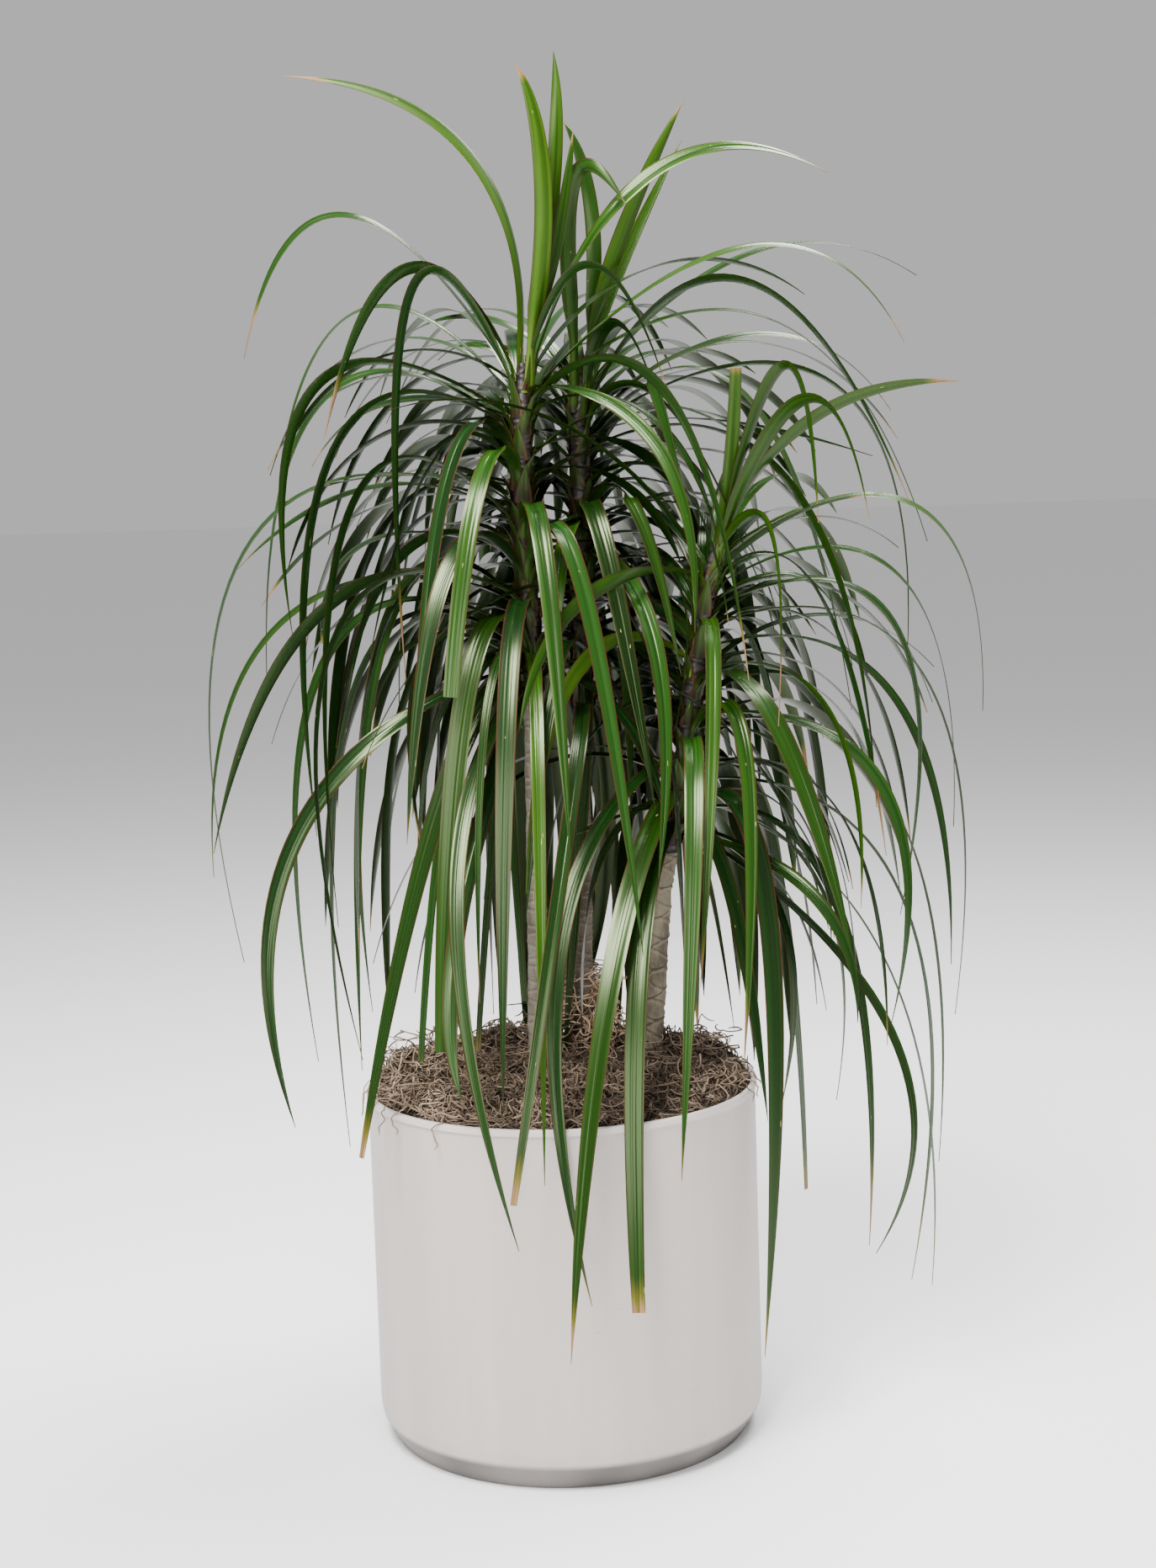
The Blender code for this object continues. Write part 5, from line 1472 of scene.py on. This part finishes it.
class MakeCrowns(bpy.types.Operator):
    """Grow each leafy stem: strap leaves by the table and the growth rule"""
    bl_idname = "dragon_tree.crowns"
    bl_label = "Leafy Stems"

    def execute(self, context):
        look = look_of(context)
        grove, recipe = grown(), strap_recipe()
        finish, bark = leaf_finish(look), stem_finish()
        for cane in CANES:
            paths = Paths()
            blades = [blade for blade in grove.placed if blade.crown == cane.name]
            for number, blade in enumerate(blades):
                self.leaf(paths, cane, blade, random.Random(f"{cane.name} {number}"), look)
            self.clasps(paths, cane)
            leaves = paths.piece("leaves_" + cane.name)
            recipe.grow(leaves, ["across", "upper", "spot", "half", "fold"],
                        Round_Points=look.leaf_round, Thickness=BLADE_THICKNESS, Material=finish)
            hand_over(leaves, "crown_" + cane.name)
            *skin, scars = scarred_skin(*stem_line(cane), STEM_BARK, STEM_RING, STEM_SIDES)
            dressed("stem_" + cane.name, skin, bark, ROUGH_CREASE,
                    "crown", "crown_" + cane.name, scar=scars)
        return {"FINISHED"}

    def leaf(self, paths, cane, blade, draw, look):
        """Add the path of a leaf, each point told how the strap lies there."""
        points, sheath = leaf_course(cane, blade, look.leaf_lengths, look.sheath_length)
        face = blade.look and blade.look.face or blade.face
        sides = blade_sides(points[sheath:], face, blade.twist)
        sides = [sides[0]] * sheath + sides
        age = (blade.root - cane.leafy_from) / (stem_top(cane) - cane.leafy_from)
        tone = OLD_TONE + TONE_RISE * max(0, age) ** 3 + draw.uniform(*TONE_VARY)
        dry = draw.uniform(*DRY_VARY)
        # Leaves of the growth rule fill the inside of the crown and get painted shade
        if not blade.face:
            tone -= RULE_LEAF_SHADE
        if blade.look:
            tone, dry = blade.look.young, blade.look.dry + draw.uniform(-SEEN_DRY_VARY, SEEN_DRY_VARY)
        flat = draw.uniform(*FOLD_VARY)
        sway, phase = draw.uniform(*SWAY_VARY), draw.uniform(0, math.tau)
        chance = draw.random()
        last = len(points) - 1
        paths.start(len(points))
        for i, (point, (across, upper)) in enumerate(zip(points, sides)):
            t = max(0, i - sheath) / (last - sheath)
            half = fine_half(blade, t)
            fold = blend(flat, ROOT_FOLD, math.exp(-t * FOLD_EASE))
            if i < sheath:
                half = blend(SHEATH_HALF, half, (i / sheath) ** 2)
                fold = SHEATH_FOLD
            lean = sway * math.sin(phase + SWAY_WAVE * t) * min(1, SWAY_EASE * t)
            paths.point(
                point, across=across * math.cos(lean) + upper * math.sin(lean),
                upper=upper * math.cos(lean) - across * math.sin(lean), half=half, fold=fold,
                run=i / last, tone=min(1, max(0, tone)), dry=dry, chance=chance)

    def clasps(self, paths, cane):
        """Add the paths of the leaf bases that clasp the stem."""
        low, high = cane.leafy_from + CLASP_FIRST, stem_top(cane) - CLASP_RUN[1]
        for number in range(int((high - low) / CLASP_STEP)):
            draw = random.Random(f"clasp {cane.name} {number}")
            out = polar(1, number * GOLDEN_ANGLE + draw.uniform(-CLASP_TURN, CLASP_TURN))
            across = Vector((-out.y, out.x, 0))
            run, lean, chance = draw.uniform(*CLASP_RUN), draw.uniform(*CLASP_LEAN), draw.random()
            paths.start(CLASP_LENGTHS + 1)
            for i in range(CLASP_LENGTHS + 1):
                t = i / CLASP_LENGTHS
                axis = along(cane, low + number * CLASP_STEP + run * t)
                paths.point(
                    axis + out * (STEM_RADIUS + CLASP_OUT + lean * t ** CLASP_CURVE),
                    across=across, upper=-out, fold=SHEATH_FOLD * (1 - 0.5 * t),
                    half=max(FINE_TIP, CLASP_HALF * (1 - t ** CLASP_TAPER)),
                    run=blend(*CLASP_LOOK, t), tone=CLASP_TONE + CLASP_TONE_VARY * chance,
                    dry=NEVER_DRY, chance=chance)


LENS = 55.79            # millimetres, on a sensor of 36 along the picture's height
CAMERA_PITCH = 0.118    # radians below level
CAMERA_ROLL = -0.0322
FLOOR_HALF = 150
# Soft square lamps: share of the main lamp's power, side, place, and what they are aimed at
LAMPS = {
    "main_lamp": (1.0, 1.1, (-0.7, -1.3, 2.9), (0.05, 0, 0.7)),
    "back_lamp": (0.7, 1.2, (0.9, 0.8, 2.9), (0.05, 0, 0.8)),
    "front_lamp": (0.27, 1.4, (-0.6, -2.9, 1.6), (0.05, 0, 0.5)),
}


class MakeStage(bpy.types.Operator):
    """Lay a pale floor, hang the soft lamps and set the camera"""
    bl_idname = "dragon_tree.stage"
    bl_label = "Stage"

    def execute(self, context):
        look = look_of(context)
        scene = context.scene
        corners = [(x * FLOOR_HALF, y * FLOOR_HALF, 0) for x, y in ((-1, -1), (1, -1), (1, 1), (-1, 1))]
        floor = new_piece("floor", corners, [(0, 1, 2, 3)])
        f = Finish("pale_floor", (0.9, 0.9, 0.9))
        floor.data.materials.append(f.surface(Base_Color=(0.93, 0.93, 0.93, 1), Roughness=0.9))
        floor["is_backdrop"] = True

        world = bpy.data.worlds.new("room")
        scene.world = world
        world.use_nodes = True
        w = Nodes(world.node_tree)
        w.tree.nodes.clear()
        sky = w.add("ShaderNodeBackground", {"Color": (1, 1, 1, 1), "Strength": look.sky_strength})
        w.add("ShaderNodeOutputWorld", [sky])

        for name, (share, side, place, aim) in LAMPS.items():
            data = bpy.data.lights.new(name, "AREA")
            data.energy = look.lamp_power * share
            data.size = side
            lamp = bpy.data.objects.new(name, data)
            scene.collection.objects.link(lamp)
            lamp.location = place
            lamp.rotation_euler = (Vector(aim) - Vector(place)).to_track_quat("-Z", "Y").to_euler()

        data = bpy.data.cameras.new("camera")
        data.sensor_width = 36
        data.lens = LENS
        data.clip_end = 100
        camera = bpy.data.objects.new("camera", data)
        scene.collection.objects.link(camera)
        camera.location = EYE
        level = Euler((math.pi / 2 - CAMERA_PITCH, 0, 0)).to_matrix()
        camera.rotation_euler = (level @ Euler((0, 0, CAMERA_ROLL)).to_matrix()).to_euler()
        scene.camera = camera
        return {"FINISHED"}


class DragonTreePanel(bpy.types.Panel):
    """Lists the plant's pieces and what a user would change"""
    bl_idname = "VIEW3D_PT_dragon_tree"
    bl_label = "Dragon Tree"
    bl_space_type = "VIEW_3D"
    bl_region_type = "UI"
    bl_category = "Dragon Tree"

    def draw(self, context):
        for maker in MAKERS:
            self.layout.operator(maker.bl_idname)
        look = look_of(context)
        for name in look.bl_rna.properties.keys():
            if name not in ("rna_type", "name"):
                self.layout.prop(look, name)


MAKERS = (MakeStage, MakePot, MakeSoil, MakeMoss, MakeCanes, MakeCrowns)
CLASSES = (DragonTreeLook, *MAKERS, DragonTreePanel)


def register():
    for cls in CLASSES:
        bpy.utils.register_class(cls)
    bpy.types.Scene.dragon_tree_look = bpy.props.PointerProperty(type=DragonTreeLook)


def unregister():
    del bpy.types.Scene.dragon_tree_look
    for cls in reversed(CLASSES):
        bpy.utils.unregister_class(cls)


def write_sizes():
    """Gather the box of the solids and the box of the dressed plant; they are not kept."""
    boxes = {"cad": CAD_BOX, "visual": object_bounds()}
    {name: [list(corner) for corner in box] for name, box in boxes.items()}


def main():
    register()
    for maker in MAKERS:
        area, name = maker.bl_idname.split(".")
        getattr(getattr(bpy.ops, area), name)()
    write_sizes()


if __name__ == "__main__":
    main()
